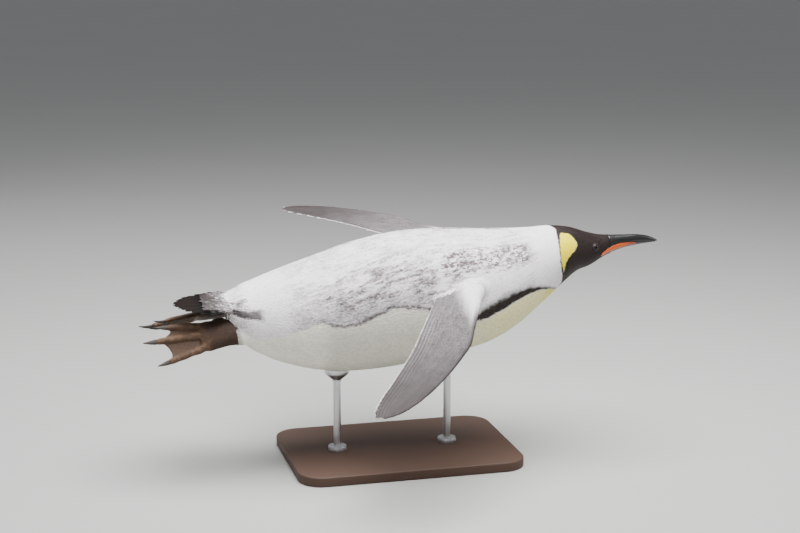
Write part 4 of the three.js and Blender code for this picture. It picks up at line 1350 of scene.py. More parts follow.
def make_eyes():
    """Domed eyes with a dark brown iris round a black pupil."""
    centre, out, ahead, across = eye_frame()
    for side_name, mirror in SIDES:
        flip = flipped(mirror)
        bm = bmesh.new()
        bmesh.ops.create_uvsphere(bm, u_segments=48, v_segments=32, radius=1)
        for vert in bm.verts:
            ball = np.array(vert.co)
            bulge = CORNEA_BULGE * max(0.0, ball[2] - CORNEA_START) / (1 - CORNEA_START)
            flat = (ahead * ball[0] + across * ball[1]) * EYE_RADIUS
            vert.co = to_world((centre + flat + out * (EYE_RADIUS * ball[2] + bulge)) * flip)
        mesh = mesh_of(bm, f"eye_{side_name}_ball")
        place = (to_bird(positions(mesh)) * flip - centre) / EYE_RADIUS
        reach = np.hypot(place @ ahead, place @ across)
        reach = np.where(place @ out > 0, reach, 1.0)
        add_attribute(mesh, "along", np.stack([reach] * 3, 1))
        keep(f"eye_{side_name}_ball", mesh, [eye_material()], [f"eye_{side_name}"], "eye_gloss")


def claw_of(toe):
    """A curved claw with a flatter underside, on a front toe."""
    def place(t, angle):
        r = (toe[3] - 0.7) * (1 - 0.86 * t ** 1.4) * round_end(t, 0.95, 0.052, 0.05)
        rise = TOE_FLATNESS * r * np.sin(angle)
        rise = np.where(rise > 0, rise * 0.72, rise * 1.05)
        along = toe_length(toe) + CLAW_GAP - CLAW_ROOT + (toe[4] + CLAW_ROOT) * t
        pinch = 1 - 0.18 * np.clip(-np.sin(angle), 0, 1)
        return beside_toe(toe, along, r * pinch * np.cos(angle), rise + CLAW_BEND * t * t)
    return place


def make_claws():
    """One claw for each front toe."""
    for toe_name, toe in TOES.items():
        for side_name, mirror in SIDES:
            node = f"claw_{toe_name}_{side_name}"
            mesh = mesh_of(shell(in_world(claw_of(toe), mirror), 26, 20), node + "_horn")
            keep(node + "_horn", mesh, [claw_material()], [node], "claw_horn")


# ---- display stand
def lathe(profile, x, z, segments=64):
    """Turns a profile of radius and height about an upright line."""
    bm = bmesh.new()
    verts = [bm.verts.new((r, 0, h)) for r, h in profile]
    for a, b in zip(verts, verts[1:]):
        bm.edges.new((a, b))
    bmesh.ops.spin(bm, geom=bm.verts[:] + bm.edges[:], cent=(0, 0, 0), axis=(0, 0, 1),
                   angle=TURN, steps=segments, use_merge=True)
    bmesh.ops.remove_doubles(bm, verts=bm.verts, dist=1e-6)
    bmesh.ops.translate(bm, verts=bm.verts, vec=(x, 0, z))
    return bm


def keep_stand(node, bm, stuff="steel"):
    """Keeps a piece of the stand in wood or steel, with its crisp edges crisp."""
    if stuff == "wood":
        material, slot, crisp = wood_material(), "walnut", math.radians(40)
    else:
        material, slot, crisp = steel_material(), "steel", math.radians(35)
    obj = keep(f"{node}_{stuff}", mesh_of(bm, node), [material], [node], slot)
    obj.data.set_sharp_from_angle(angle=crisp)


def bevel(bm, edges, offset, segments):
    """Rounds edges to a radius."""
    bmesh.ops.bevel(bm, geom=edges, offset=offset, offset_type="OFFSET", segments=segments, profile=0.5,
                    affect="EDGES", material=-1)


def make_base():
    """The flat wooden base with rounded corners."""
    bm = bmesh.new()
    bmesh.ops.create_cube(bm, size=1)
    bmesh.ops.scale(bm, verts=bm.verts, vec=(BASE_LENGTH, BASE_WIDTH, BASE_THICK))
    bmesh.ops.translate(bm, verts=bm.verts, vec=(0, 0, BASE_THICK / 2))
    upright = [e for e in bm.edges if abs(e.verts[0].co.z - e.verts[1].co.z) > BASE_THICK / 2]
    bevel(bm, upright, BASE_CORNER, 14)
    flat = [f for f in bm.faces if abs(f.normal.z) > 0.9]
    bevel(bm, list({e for f in flat for e in f.edges}), BASE_BEVEL, 4)
    keep_stand("stand_base", bm, "wood")


def rod_profile(top):
    """From inside the base to the cup, with a turned groove below the top."""
    r = ROD_RADIUS
    groove = [(r, top - 0.014), (r - 0.0006, top - 0.0136), (r - 0.0006, top - 0.0124), (r, top - 0.012)]
    return [(0, BASE_THICK - ROD_SUNK), (r, BASE_THICK - ROD_SUNK)] + groove + [(r, top), (0, top)]


def collar_profile():
    """A ring round the rod with softened edges."""
    inner, outer, tall = ROD_RADIUS + 0.0001, COLLAR_RADIUS, COLLAR_HEIGHT
    return [(inner, 0), (outer - 0.0004, 0), (outer, 0.0004), (outer, tall - 0.002),
            (outer - 0.0006, tall - 0.0006), (outer - 0.002, tall), (inner + 0.0005, tall),
            (inner, tall - 0.0005), (inner, 0)]


def cup_profile():
    """The cup, whose top is still above the belly and is then lowered onto it."""
    foot, rim, top = CUP_FOOT_RADIUS, CUP_RIM_RADIUS, CUP_BLANK_TOP
    return [(0, 0), (foot - 0.0005, 0), (foot, 0.0005), (foot, CUP_FOOT_HEIGHT), (foot + 0.0012, 0.0042),
            (rim - 0.0018, CUP_RIM_HEIGHT - 0.002), (rim, CUP_RIM_HEIGHT + 0.0006), (rim, top - 0.001),
            (rim - 0.0008, top), (rim - 0.003, top), (rim * 0.66, top), (rim * 0.33, top), (0, top)]


def make_metal():
    """Rods, collars with grub screws, and cups that take the belly's curve."""
    trunk = frame["nodes"]["trunk"].data
    tree = BVHTree.FromPolygons([v.co for v in trunk.vertices], [tuple(p.vertices) for p in trunk.polygons])
    for name, x, cup_foot in RODS:
        keep_stand(f"stand_rod_{name}", lathe(rod_profile(cup_foot - 0.0002), x, 0))
        bm = lathe(collar_profile(), x, BASE_THICK)
        for turn in SCREW_TURNS:
            add_screw(bm, x, turn)
        keep_stand(f"stand_collar_{name}", bm)
        bm = lathe(cup_profile(), x, cup_foot)
        for vert in bm.verts:
            above = vert.co.z - cup_foot - CUP_BLANK_TOP
            if above > -0.0015:
                belly = tree.ray_cast(Vector((vert.co.x, vert.co.y, 0.0)), Vector((0, 0, 1)))[0]
                vert.co.z = belly.z - (RIM_DROP if above < -0.0005 else CUP_CLEARANCE)
        keep_stand(f"stand_cup_{name}", bm)


def add_screw(bm, x, turn):
    """A grub screw in the collar's side, with a sunk socket."""
    made = bmesh.ops.create_cone(bm, cap_ends=True, segments=24, radius1=SCREW_RADIUS, radius2=SCREW_RADIUS,
                                 depth=SCREW_LENGTH)
    verts = made["verts"]
    cap = [f for f in {f for v in verts for f in v.link_faces} if f.normal.z > 0.9]
    bmesh.ops.inset_region(bm, faces=cap, thickness=0.0009, depth=0)
    for vert in cap[0].verts:
        vert.co.z -= 0.001
    whole = list({v for f in {f for v in verts for f in v.link_faces} for v in f.verts} | set(cap[0].verts))
    place = (Matrix.Translation((x, 0, BASE_THICK + COLLAR_HEIGHT * 0.42)) @ Matrix.Rotation(turn, 4, "Z")
             @ Matrix.Translation((COLLAR_RADIUS - 0.0008, 0, 0)) @ Matrix.Rotation(math.pi / 2, 4, "Y"))
    bmesh.ops.transform(bm, matrix=place, verts=whole)


# ---- materials
def linear(*channels):
    """Display colour from 0 to 1 to the linear colour that shaders take."""
    return tuple(c / 12.92 if c <= 0.04045 else ((c + 0.055) / 1.055) ** 2.4 for c in channels)


class Nodes:
    """Short ways to build a node tree."""

    def __init__(self, tree):
        self.tree = tree

    def add(self, kind, inputs=(), **settings):
        """A new node with these settings and inputs."""
        node = self.tree.nodes.new(kind)
        for key, value in settings.items():
            setattr(node, key, value)
        self.fill(node.inputs, dict(inputs))
        return node

    def fill(self, sockets, values):
        """Gives several sockets their values by name or number."""
        for key, value in values.items():
            self.put(sockets[key], value)

    def put(self, socket, value):
        """Links a socket's value to it, or sets it on the socket."""
        if isinstance(value, bpy.types.NodeSocket):
            self.tree.links.new(value, socket)
        elif isinstance(value, (tuple, list)) and len(value) == 3 and socket.type == "RGBA":
            socket.default_value = (*value, 1)
        else:
            socket.default_value = value

    def math(self, operation, a, b=0.0, clamp=False):
        """A calculation with one or two values."""
        inputs = {0: a, 1: b}
        return self.add("ShaderNodeMath", inputs, operation=operation, use_clamp=clamp).outputs[0]

    def plus(self, a, b, clamp=False):
        """The sum of two values."""
        return self.math("ADD", a, b, clamp=clamp)

    def minus(self, a, b):
        """The difference of two values."""
        return self.math("SUBTRACT", a, b)

    def times(self, a, b):
        """The product of two values."""
        return self.math("MULTIPLY", a, b)

    def swing(self, value, amount):
        """The value's part above or below a half, scaled."""
        return self.times(self.minus(value, 0.5), amount)

    def mix(self, factor, a, b, blend="MIX"):
        """Colour a where the factor is 0, b where it is 1."""
        inputs = {0: factor, 6: a, 7: b}
        return self.add("ShaderNodeMix", inputs, data_type="RGBA", blend_type=blend).outputs[2]

    def span(self, value, low, high, to_low=0.0, to_high=1.0):
        """A smooth step from one value at low to another at high."""
        inputs = {"Value": value, "From Min": low, "From Max": high, "To Min": to_low, "To Max": to_high}
        return self.add("ShaderNodeMapRange", inputs, interpolation_type="SMOOTHSTEP").outputs["Result"]

    def noise(self, vector, scale, detail=3.0, rough=0.55):
        """Soft noise around a half, with this many lumps to the metre."""
        inputs = {"Vector": vector, "Scale": scale, "Detail": detail, "Roughness": rough}
        return self.add("ShaderNodeTexNoise", inputs).outputs["Fac"]

    def stretch(self, vector, scale):
        """A place scaled on each axis, for noise that is drawn out into streaks."""
        return self.add("ShaderNodeMapping", {"Vector": vector, "Scale": scale}).outputs["Vector"]

    def place(self):
        """The place on the piece, in metres."""
        return self.add("ShaderNodeTexCoord").outputs["Object"]

    def attribute(self, name):
        """A value that the mesh carries on its vertices."""
        return self.add("ShaderNodeAttribute", attribute_name=name)

    def split(self, colour):
        """The three channels of a colour."""
        return self.add("ShaderNodeSeparateColor", {"Color": colour}).outputs

    def shaded(self, tone, shade):
        """A tone made lighter or darker by a factor."""
        grey = self.add("ShaderNodeCombineColor", {0: shade, 1: shade, 2: shade}).outputs[0]
        return self.mix(1.0, tone, grey, "MULTIPLY")

    def bump(self, height, distance, strength=1.0):
        """The way that the surface faces with small relief added."""
        inputs = {"Height": height, "Distance": distance, "Strength": strength}
        return self.add("ShaderNodeBump", inputs).outputs["Normal"]

    def group(self, tree, inputs):
        """A group placed with its own values; gives the group's outputs."""
        return self.add("ShaderNodeGroup", inputs, node_tree=tree).outputs


def paint(name):
    """A colour of the panel."""
    return tuple(getattr(bpy.context.scene.penguin_colours, name))


def finish(name):
    """Turns a function that gives a shader's values into one that gives the material, made once."""
    def of_values(values):
        def made():
            material = bpy.data.materials.get(name)
            if material is None:
                material = bpy.data.materials.new(name)
                material.use_nodes = True
                n = Nodes(material.node_tree)
                n.fill(material.node_tree.nodes["Principled BSDF"].inputs, values(n))
            return material
        return made
    return of_values


def node_group(name, *sockets):
    """Turns a function that gives a group's outputs into one that gives the group, made once. Each
    input socket has a name, a kind and, unless it is a place, a default."""
    def of_outputs(outputs):
        def made():
            tree = bpy.data.node_groups.get(name)
            if tree:
                return tree
            tree = bpy.data.node_groups.new(name, "ShaderNodeTree")
            for label, kind, *default in sockets:
                socket = tree.interface.new_socket(label, in_out="INPUT", socket_type="NodeSocket" + kind)
                if default:
                    socket.default_value = (*default[0], 1) if kind == "Color" else default[0]
            for label, kind in (("Color", "Color"), ("Roughness", "Float"), ("Height", "Float")):
                tree.interface.new_socket(label, in_out="OUTPUT", socket_type="NodeSocket" + kind)
            n = Nodes(tree)
            given = n.add("NodeGroupInput").outputs
            n.fill(n.add("NodeGroupOutput").inputs, outputs(n, given))
            return tree
        return made
    return of_outputs


@node_group("Plumage", ("Marks", "Color", (0, 0, 0)), ("Mottle", "Float", 0.3),
            ("Vane", "Color", (0, 0, 0)), ("Place", "Vector"))
def plumage_group(n, given):
    """Feather colours from the markings: silver or white ground, golden wash, then black."""
    silver_tone, slate = paint("silver"), paint("slate")
    silver, gold, dark = n.split(given["Marks"])[:3]
    along, across, pick = n.split(given["Vane"])[:3]
    fine = n.noise(given["Place"], 420.0, 2.0)
    broad = n.noise(given["Place"], 60.0, 4.0, 0.6)
    # The mottle also carries the painted highlights of the shoulder, rump and flipper roots.
    worn = n.plus(given["Mottle"], n.swing(pick, 0.5))
    worn = n.plus(worn, n.swing(broad, 0.5))
    worn = n.plus(worn, n.swing(fine, 0.3), clamp=True)
    back = n.mix(worn, silver_tone, slate)
    root = n.times(n.span(along, 0.75, 0.35), n.span(given["Mottle"], -0.2, 0.5, 0.12, 0.55))
    back = n.mix(root, back, slate)
    from_shaft = n.math("ABSOLUTE", n.minus(across, 0.5))
    rim = n.math("MAXIMUM", n.span(from_shaft, 0.30, 0.48), n.span(along, 0.88, 1.0))
    back = n.mix(n.times(rim, n.span(worn, 0.25, 0.9, 0.0, 0.4)), back, silver_tone)
    ground = n.mix(n.span(gold, 0.0, 0.30), paint("white"), paint("pale_yellow"))
    ground = n.mix(n.span(gold, 0.24, 0.85), ground, paint("golden"))
    tone = n.mix(silver, ground, back)
    tone = n.mix(dark, tone, n.mix(n.times(pick, 0.7), paint("black"), paint("brown_black")))
    shade = n.times(n.span(pick, 0.0, 1.0, 0.90, 1.06), n.span(fine, 0.3, 0.7, 0.95, 1.04))
    barb = n.math("SINE", n.plus(n.times(along, 70.0), n.times(from_shaft, 46.0)))
    return {"Color": n.shaded(tone, shade),
            "Roughness": n.plus(n.span(dark, 0, 1, 0.52, 0.40), n.times(fine, 0.1)),
            "Height": n.plus(n.times(barb, 0.5), fine)}


@finish("plumage")
def plumage_material(n):
    """Feathers of the coat."""
    marks = n.attribute("marks")
    given = n.group(plumage_group(), {
        "Marks": marks.outputs["Color"], "Mottle": marks.outputs["Alpha"],
        "Vane": n.attribute("vane").outputs["Color"], "Place": n.place()})
    return {
        "Base Color": given["Color"], "Roughness": given["Roughness"], "Specular IOR Level": 0.22,
        "Normal": n.bump(given["Height"], 0.00006, 0.6)}


@node_group("Leather", ("Place", "Vector"), ("Cell Scale", "Float", 500.0),
            ("Base", "Color", (0.2, 0.15, 0.1)), ("Crease", "Color", (0.05, 0.04, 0.03)),
            ("Worn", "Color", (0.4, 0.3, 0.2)))
def leather_group(n, given):
    """Scaly leather: small cells with painted shade in the creases between them."""
    cells = n.add("ShaderNodeTexVoronoi", {"Vector": given["Place"], "Scale": given["Cell Scale"]},
                  feature="DISTANCE_TO_EDGE").outputs["Distance"]
    edge = n.span(cells, 0.0, 0.12)
    broad = n.noise(given["Place"], 90.0, 4.0, 0.6)
    fine = n.noise(given["Place"], 1400.0, 3.0)
    tone = n.mix(n.span(broad, 0.42, 0.66), given["Base"], given["Worn"])
    # Painted shade in the creases between the cells; fine noise flecks the cells with the same dark.
    tone = n.mix(n.minus(1.0, edge), tone, given["Crease"])
    return {"Color": n.mix(n.span(fine, 0.35, 0.75, 0.0, 0.3), tone, given["Crease"]),
            "Roughness": n.span(broad, 0.3, 0.7, 0.42, 0.62),
            "Height": n.plus(edge, n.times(fine, 0.25))}


def toe_and_web(n, place, toe_cells, web_cells):
    """Leather of the toes and of the webs, with this many cells to the metre."""
    toe = n.group(leather_group(), {
        "Place": place, "Cell Scale": toe_cells, "Base": paint("toe"), "Worn": paint("toe_worn")})
    web = n.group(leather_group(), {
        "Place": place, "Cell Scale": web_cells, "Base": paint("web"), "Worn": paint("web")})
    return toe, web


@finish("penguin_skin")
def skin_material(n):
    """Plumage colours where the skin is feathered, darkened as painted shade where it shows between the
    feathers, leather on the feet, dark bare skin at the lids.
    """
    marks, patches, place = n.attribute("marks"), n.attribute("bare"), n.place()
    feathered = n.group(plumage_group(), {
        "Marks": marks.outputs["Color"], "Mottle": marks.outputs["Alpha"],
        "Vane": (0.3, 0.5, 0.4), "Place": place})
    bare, web, lid = n.split(patches.outputs["Color"])[:3]
    toe, webbed = toe_and_web(n, place, 620.0, 800.0)
    # Painted shade: the feathered skin, seen between the feathers, is darkened by a quarter.
    under = n.mix(0.25, feathered["Color"], (0.02, 0.018, 0.018))
    foot = n.mix(web, toe["Color"], webbed["Color"])
    foot = n.mix(n.times(patches.outputs["Alpha"], 0.75), foot, paint("shank"))
    height = n.times(toe["Height"], n.math("MAXIMUM", bare, lid))
    return {
        "Base Color": n.mix(lid, n.mix(bare, under, foot), paint("lid")),
        "Roughness": n.span(bare, 0, 1, 0.6, 0.48), "Specular IOR Level": 0.25,
        "Normal": n.bump(height, 0.0003, 0.7)}


@finish("foot_scales")
def scale_material(n):
    """Horny foot scales: brown on the toes and webs, nearly black on the shank, with painted shade at each
    scale's root.
    """
    web, _, shank = n.split(n.attribute("marks").outputs["Color"])[:3]
    along, _, pick = n.split(n.attribute("vane").outputs["Color"])[:3]
    toe, webbed = toe_and_web(n, n.place(), 900.0, 900.0)
    tone = n.mix(web, toe["Color"], webbed["Color"])
    tone = n.mix(n.times(shank, 0.75), tone, paint("shank"))
    # Painted shade: each scale darkens towards its root, where it lies under the one before.
    tone = n.mix(n.times(n.span(along, 0.5, 0.1), 0.5), tone, (0.02, 0.015, 0.012))
    return {
        "Base Color": n.shaded(tone, n.span(pick, 0.0, 1.0, 0.72, 1.15)),
        "Roughness": toe["Roughness"], "Specular IOR Level": 0.25,
        "Normal": n.bump(toe["Height"], 0.00012, 0.6)}


@node_group("Horn", ("Place", "Vector"), ("Base", "Color", (0.02, 0.02, 0.02)),
            ("Streak", "Color", (0.1, 0.08, 0.06)), ("Amount", "Float", 0.5))
def horn_group(n, given):
    """Horn: fine streaks along the piece, with broad blotches."""
    streak = n.noise(n.stretch(given["Place"], (60.0, 700.0, 700.0)), 1.0, 4.0, 0.6)
    blotch = n.noise(given["Place"], 130.0, 3.0)
    mask = n.times(n.span(streak, 0.45, 0.75), given["Amount"])
    mask = n.plus(mask, n.times(n.span(blotch, 0.5, 0.8), 0.25), clamp=True)
    return {"Color": n.mix(mask, given["Base"], given["Streak"]),
            "Roughness": n.plus(0.16, n.times(streak, 0.2)),
            "Height": n.plus(streak, n.times(blotch, 0.5))}


@finish("bill_horn")
def horn_material(n):
    """Black horn of the bill, dull beside the feathers and waxed further out."""
    place = n.place()
    given = n.group(horn_group(), {
        "Place": place, "Base": paint("bill"), "Streak": (0.05, 0.04, 0.035), "Amount": 0.5})
    ahead = n.add("ShaderNodeSeparateXYZ", {"Vector": place}).outputs["X"]
    dull_to_shiny = (0.407, 0.431)
    return {
        "Base Color": given["Color"], "Specular IOR Level": 0.35,
        "Roughness": n.plus(given["Roughness"], n.span(ahead, *dull_to_shiny, 0.3, 0.0)),
        "Coat Weight": n.span(ahead, *dull_to_shiny, 0.0, 0.3), "Coat Roughness": 0.2,
        "Normal": n.bump(given["Height"], 0.00012, 0.5)}


@finish("claw_horn")
def claw_material(n):
    """Dark horn of the claws, without wax."""
    given = n.group(horn_group(), {
        "Place": n.place(), "Base": paint("claw"), "Streak": (0.06, 0.04, 0.026), "Amount": 0.7})
    return {
        "Base Color": given["Color"], "Roughness": given["Roughness"], "Specular IOR Level": 0.2,
        "Normal": n.bump(given["Height"], 0.00012, 0.5)}


@finish("bill_plate")
def plate_material(n):
    """The lower bill's plate: orange at the root, redder towards the tip, waxy."""
    along = n.split(n.attribute("along").outputs["Color"])[0]
    place = n.place()
    where = n.plus(along, n.swing(n.noise(place, 160.0, 3.0), 0.25))
    tone = n.mix(n.span(where, 0.55, 0.95), paint("plate"), paint("plate_tip"))
    given = n.group(horn_group(), {
        "Place": place, "Base": tone, "Streak": (0.42, 0.11, 0.01), "Amount": 0.3})
    return {
        "Base Color": given["Color"], "Roughness": given["Roughness"], "Specular IOR Level": 0.25,
        "Coat Weight": 0.25, "Coat Roughness": 0.12, "Subsurface Weight": 0.08,
        "Subsurface Scale": 0.002, "Normal": n.bump(given["Height"], 0.0001, 0.4)}


@finish("eye")
def eye_material(n):
    """Brown iris round a black pupil, dark beyond it, under a wet clear coat."""
    reach = n.split(n.attribute("along").outputs["Color"])[0]
    fibre = n.noise(n.stretch(n.place(), (500, 500, 500)), 1.0, 4.0, 0.7)
    ring = n.plus(reach, n.swing(fibre, 0.05))
    iris = n.mix(n.span(fibre, 0.35, 0.7), paint("iris"), (0.012, 0.006, 0.004))
    tone = n.mix(n.span(ring, 0.30, 0.36), (0.002, 0.002, 0.002), iris)
    return {
        "Base Color": n.mix(n.span(ring, 0.60, 0.68), tone, (0.004, 0.003, 0.003)),
        "Roughness": 0.4, "Specular IOR Level": 0.05, "Coat IOR": 1.36, "Coat Weight": 1.0,
        "Coat Roughness": 0.02}


@finish("tail_feather")
def tail_material(n):
    """Stiff brown-black blades with paler worn tips."""
    along = n.split(n.attribute("vane").outputs["Color"])[0]
    streak = n.noise(n.stretch(n.place(), (40.0, 900.0, 900.0)), 1.0, 4.0, 0.6)
    tone = n.mix(n.span(streak, 0.45, 0.75), (0.0016, 0.0010, 0.0010), (0.0060, 0.0036, 0.0032))
    return {
        "Base Color": n.mix(n.times(n.span(along, 0.55, 1.0), 0.5), tone, (0.014, 0.0085, 0.0065)),
        "Roughness": n.span(streak, 0.2, 0.8, 0.55, 0.75), "Specular IOR Level": 0.06,
        "Normal": n.bump(streak, 0.0002, 0.6)}


@finish("walnut")
def wood_material(n):
    """Oiled wood: long grain with pores, under a thin coat."""
    wood = tuple(bpy.context.scene.penguin_stand.wood)
    place = n.place()
    warp = n.noise(n.stretch(place, (3.0, 12.0, 12.0)), 1.0, 3.0)
    grain = n.noise(n.stretch(place, (2.2, 38.0, 38.0)), 1.0, 5.0, 0.6)
    rings = n.plus(grain, n.times(warp, 0.5))
    pores = n.noise(n.stretch(place, (60.0, 1500.0, 1500.0)), 1.0, 2.0)
    tone = n.mix(n.span(rings, 0.55, 0.92), wood, tuple(c * 0.38 for c in wood))
    in_pore = n.times(n.span(pores, 0.56, 0.68), 0.6)
    return {
        "Base Color": n.mix(in_pore, tone, tuple(c * 0.2 for c in wood)),
        "Roughness": n.span(rings, 0.4, 1.0, 0.32, 0.46), "Coat Weight": 0.15, "Coat Roughness": 0.3,
        "Normal": n.bump(pores, 0.00012, 0.5)}


@finish("satin_steel")
def steel_material(n):
    """Satin stainless steel with fine turned lines and a few smudges."""
    place = n.place()
    lines = n.noise(n.stretch(place, (30.0, 30.0, 5200.0)), 1.0, 2.0)
    smudge = n.noise(place, 55.0, 4.0)
    return {
        "Base Color": n.mix(smudge, (0.50, 0.50, 0.51), (0.62, 0.62, 0.63)), "Metallic": 1.0,
        "Roughness": n.plus(n.span(smudge, 0.3, 0.7, 0.26, 0.33), n.times(lines, 0.06))}


@finish("pale_floor")
def floor_material(n):
    """Plain pale floor with faint clouds."""
    tone = tuple(bpy.context.scene.penguin_stage.floor)
    cloud = n.noise(n.place(), 1.5, 3.0)
    return {
        "Base Color": n.mix(cloud, tone, tuple(c * 0.94 for c in tone)), "Roughness": 0.85}


# ---- stage
def looking(name, data, place, way):
    """A lamp or camera at a place, turned to look one way."""
    obj = in_scene(name, data)
    obj.location = place
    obj.rotation_mode = "QUATERNION"
    obj.rotation_quaternion = way.to_track_quat("-Z", "Y")
    return obj


def make_stage():
    """Pale floor, soft lamps, the light of the room and the camera."""
    settings = bpy.context.scene.penguin_stage
    bm = bmesh.new()
    bmesh.ops.create_circle(bm, cap_ends=True, segments=96, radius=FLOOR_RADIUS)
    mesh = bpy.data.meshes.new("floor")
    bm.to_mesh(mesh)
    bm.free()
    mesh.materials.append(floor_material())
    floor = in_scene("floor", mesh)

    a, e = CAMERA_AZIMUTH, CAMERA_ELEVATION
    back = Vector((math.sin(a) * math.cos(e), -math.cos(a) * math.cos(e), math.sin(e)))
    right = Vector((math.cos(a), math.sin(a), 0))
    middle = Vector((0, 0, BODY_HEIGHT * MM))
    data = bpy.data.cameras.new("camera")
    data.lens, data.sensor_width = CAMERA_LENS, 36
    data.clip_start, data.clip_end = 0.05, 200
    place = middle + right * CAMERA_RIGHT + back.cross(right) * CAMERA_UP + back * CAMERA_DISTANCE
    bpy.context.scene.camera = looking("camera", data, place, -back)

    for name, place, size in LAMPS:
        data = bpy.data.lights.new(name, "AREA")
        data.shape = "DISK"
        data.size = size
        data.energy = getattr(settings, name + "_power")
        looking(name, data, place, middle - Vector(place))
    world = bpy.data.worlds.new("studio")
    world.use_nodes = True
    sky = world.node_tree.nodes["Background"]
    sky.inputs["Color"].default_value = (*ROOM_TONE, 1)
    sky.inputs["Strength"].default_value = settings.room_light
    bpy.context.scene.world = world


# ---- settings
def colour(name, description, *channels):
    """A colour setting, given as a display colour."""
    return bpy.props.FloatVectorProperty(name=name, description=description, default=linear(*channels),
                                         subtype="COLOR", min=0, max=1, size=3)


def power(name, description, watts):
    """The power of a lamp."""
    return bpy.props.FloatProperty(name=name, description=description, default=watts, min=0, unit="POWER")


def grain(name, description, size):
    """The cell size of the fused skin."""
    return bpy.props.FloatProperty(name=name, description=description, default=size, min=0.001, max=0.01,
                                   unit="LENGTH", precision=4)


class PENGUIN_PG_colours(bpy.types.PropertyGroup):
    """Colours of the plumage and the bare parts"""
    silver: colour("Silver", "Back feathers", 0.955, 0.935, 0.945)
    slate: colour("Slate", "Worn and lower part of the back feathers", 0.35, 0.30, 0.32)
    white: colour("White", "Belly feathers", 0.96, 0.95, 0.91)
    pale_yellow: colour("Pale yellow", "Lower breast", 0.94, 0.92, 0.66)
    golden: colour("Golden", "Ear patch and upper breast", 0.93, 0.86, 0.0)
    black: colour("Black", "Head and bands", 0.055, 0.040, 0.040)
    brown_black: colour("Brown black", "Lighter head feathers", 0.22, 0.165, 0.15)
    bill: colour("Bill", "Horn of the bill", 0.045, 0.04, 0.045)
    plate: colour("Plate", "Root of the bill plate", 0.88, 0.35, 0.015)
    plate_tip: colour("Plate tip", "Tip of the bill plate", 0.60, 0.25, 0.20)
    iris: colour("Iris", "Eye", 0.16, 0.085, 0.05)
    lid: colour("Lid", "Bare rim of the eye", 0.15, 0.13, 0.13)
    toe: colour("Toe", "Toe scales", 0.33, 0.23, 0.16)
    toe_worn: colour("Toe worn", "Paler toe scales", 0.48, 0.35, 0.25)
    web: colour("Web", "Webs", 0.33, 0.225, 0.16)
    shank: colour("Shank", "Bare part above the toes", 0.14, 0.08, 0.055)
    claw: colour("Claw", "Claws", 0.09, 0.062, 0.048)


class PENGUIN_PG_coat(bpy.types.PropertyGroup):
    """How finely the skin is made"""
    voxel: grain("Skin grain", "Cell size of the fused skin", 0.0015)
    quick_voxel: grain("Quick skin grain", "Cell size for quick looks", 0.0019)
    skin_triangles: bpy.props.IntProperty(name="Skin triangles", description="Most triangles in the skin",
                                          default=185000, min=10000, max=199000)


class PENGUIN_PG_stand(bpy.types.PropertyGroup):
    """Finish of the stand"""
    wood: colour("Wood", "Oiled base", 0.36, 0.24, 0.16)


class PENGUIN_PG_stage(bpy.types.PropertyGroup):
    """Floor and lights"""
    floor: colour("Floor", "Plain floor", 0.65, 0.65, 0.64)
    overhead_power: power("Overhead", "Soft light from above", 205)
    front_power: power("Front", "Light from the camera's side", 8)
    side_power: power("Side", "Light from the bill's side", 12)
    rear_power: power("Rear", "Light from behind", 14)
    room_light: bpy.props.FloatProperty(name="Room", description="Even light of the room",
                                        default=0.38, min=0)


# ---- operators
class PENGUIN_OT_skin(bpy.types.Operator):
    """One closed skin for the whole bird, with lids and scaly feet"""
    bl_idname = "penguin.skin"
    bl_label = "Skin"

    def execute(self, context):
        make_skin()
        return {"FINISHED"}


class PENGUIN_OT_head_coat(bpy.types.Operator):
    """Short feathers of the head and neck"""
    bl_idname = "penguin.head_coat"
    bl_label = "Head and Neck Feathers"

    def execute(self, context):
        make_body_coat(HEAD_START + 2, FEATHER_EDGE + 1.5, (
            ("coat_head", "black_feather", lambda x, a: x > 0),), 21)
        make_body_coat(NECK_START + 1, HEAD_START + 1.5, (
            ("coat_neck", "neck_feather", lambda x, a: x > 0),), 22)
        return {"FINISHED"}


class PENGUIN_OT_trunk_coat(bpy.types.Operator):
    """Feathers of the back, flanks, breast and belly"""
    bl_idname = "penguin.trunk_coat"
    bl_label = "Trunk Feathers"

    def execute(self, context):
        quarter = math.pi / 2
        make_body_coat(RUMP_END + 6, NECK_START + 1.5, (
            ("coat_back_front", "silver_feather", lambda x, a: (x > -30) & (abs(a) <= quarter)),
            ("coat_back_rear", "silver_feather", lambda x, a: (x <= -30) & (abs(a) <= quarter)),
            ("coat_belly_front", "silver_feather", lambda x, a: (x > -30) & (abs(a) > quarter)),
            ("coat_belly_rear", "silver_feather", lambda x, a: (x <= -30) & (abs(a) > quarter))), 23)
        return {"FINISHED"}


class PENGUIN_OT_wing_coat(bpy.types.Operator):
    """Scale-like feathers of both faces of the flippers"""
    bl_idname = "penguin.wing_coat"
    bl_label = "Flipper Feathers"

    def execute(self, context):
        for side_name, mirror in SIDES:
            for upper in (True, False):
                make_wing_coat(side_name, mirror, upper)
        return {"FINISHED"}


class PENGUIN_OT_legs(bpy.types.Operator):
    """Shank feathers and foot scales"""
    bl_idname = "penguin.legs"
    bl_label = "Legs and Feet"

    def execute(self, context):
        for side_name, mirror in SIDES:
            make_leg_coat(side_name, mirror)
        for side_name, mirror in SIDES:
            make_foot_scales(side_name, mirror)
        return {"FINISHED"}


class PENGUIN_OT_tail(bpy.types.Operator):
    """Tail feathers and their coverts"""
    bl_idname = "penguin.tail"
    bl_label = "Tail"

    def execute(self, context):
        make_tail_feathers()
        make_tail_coverts()
        return {"FINISHED"}


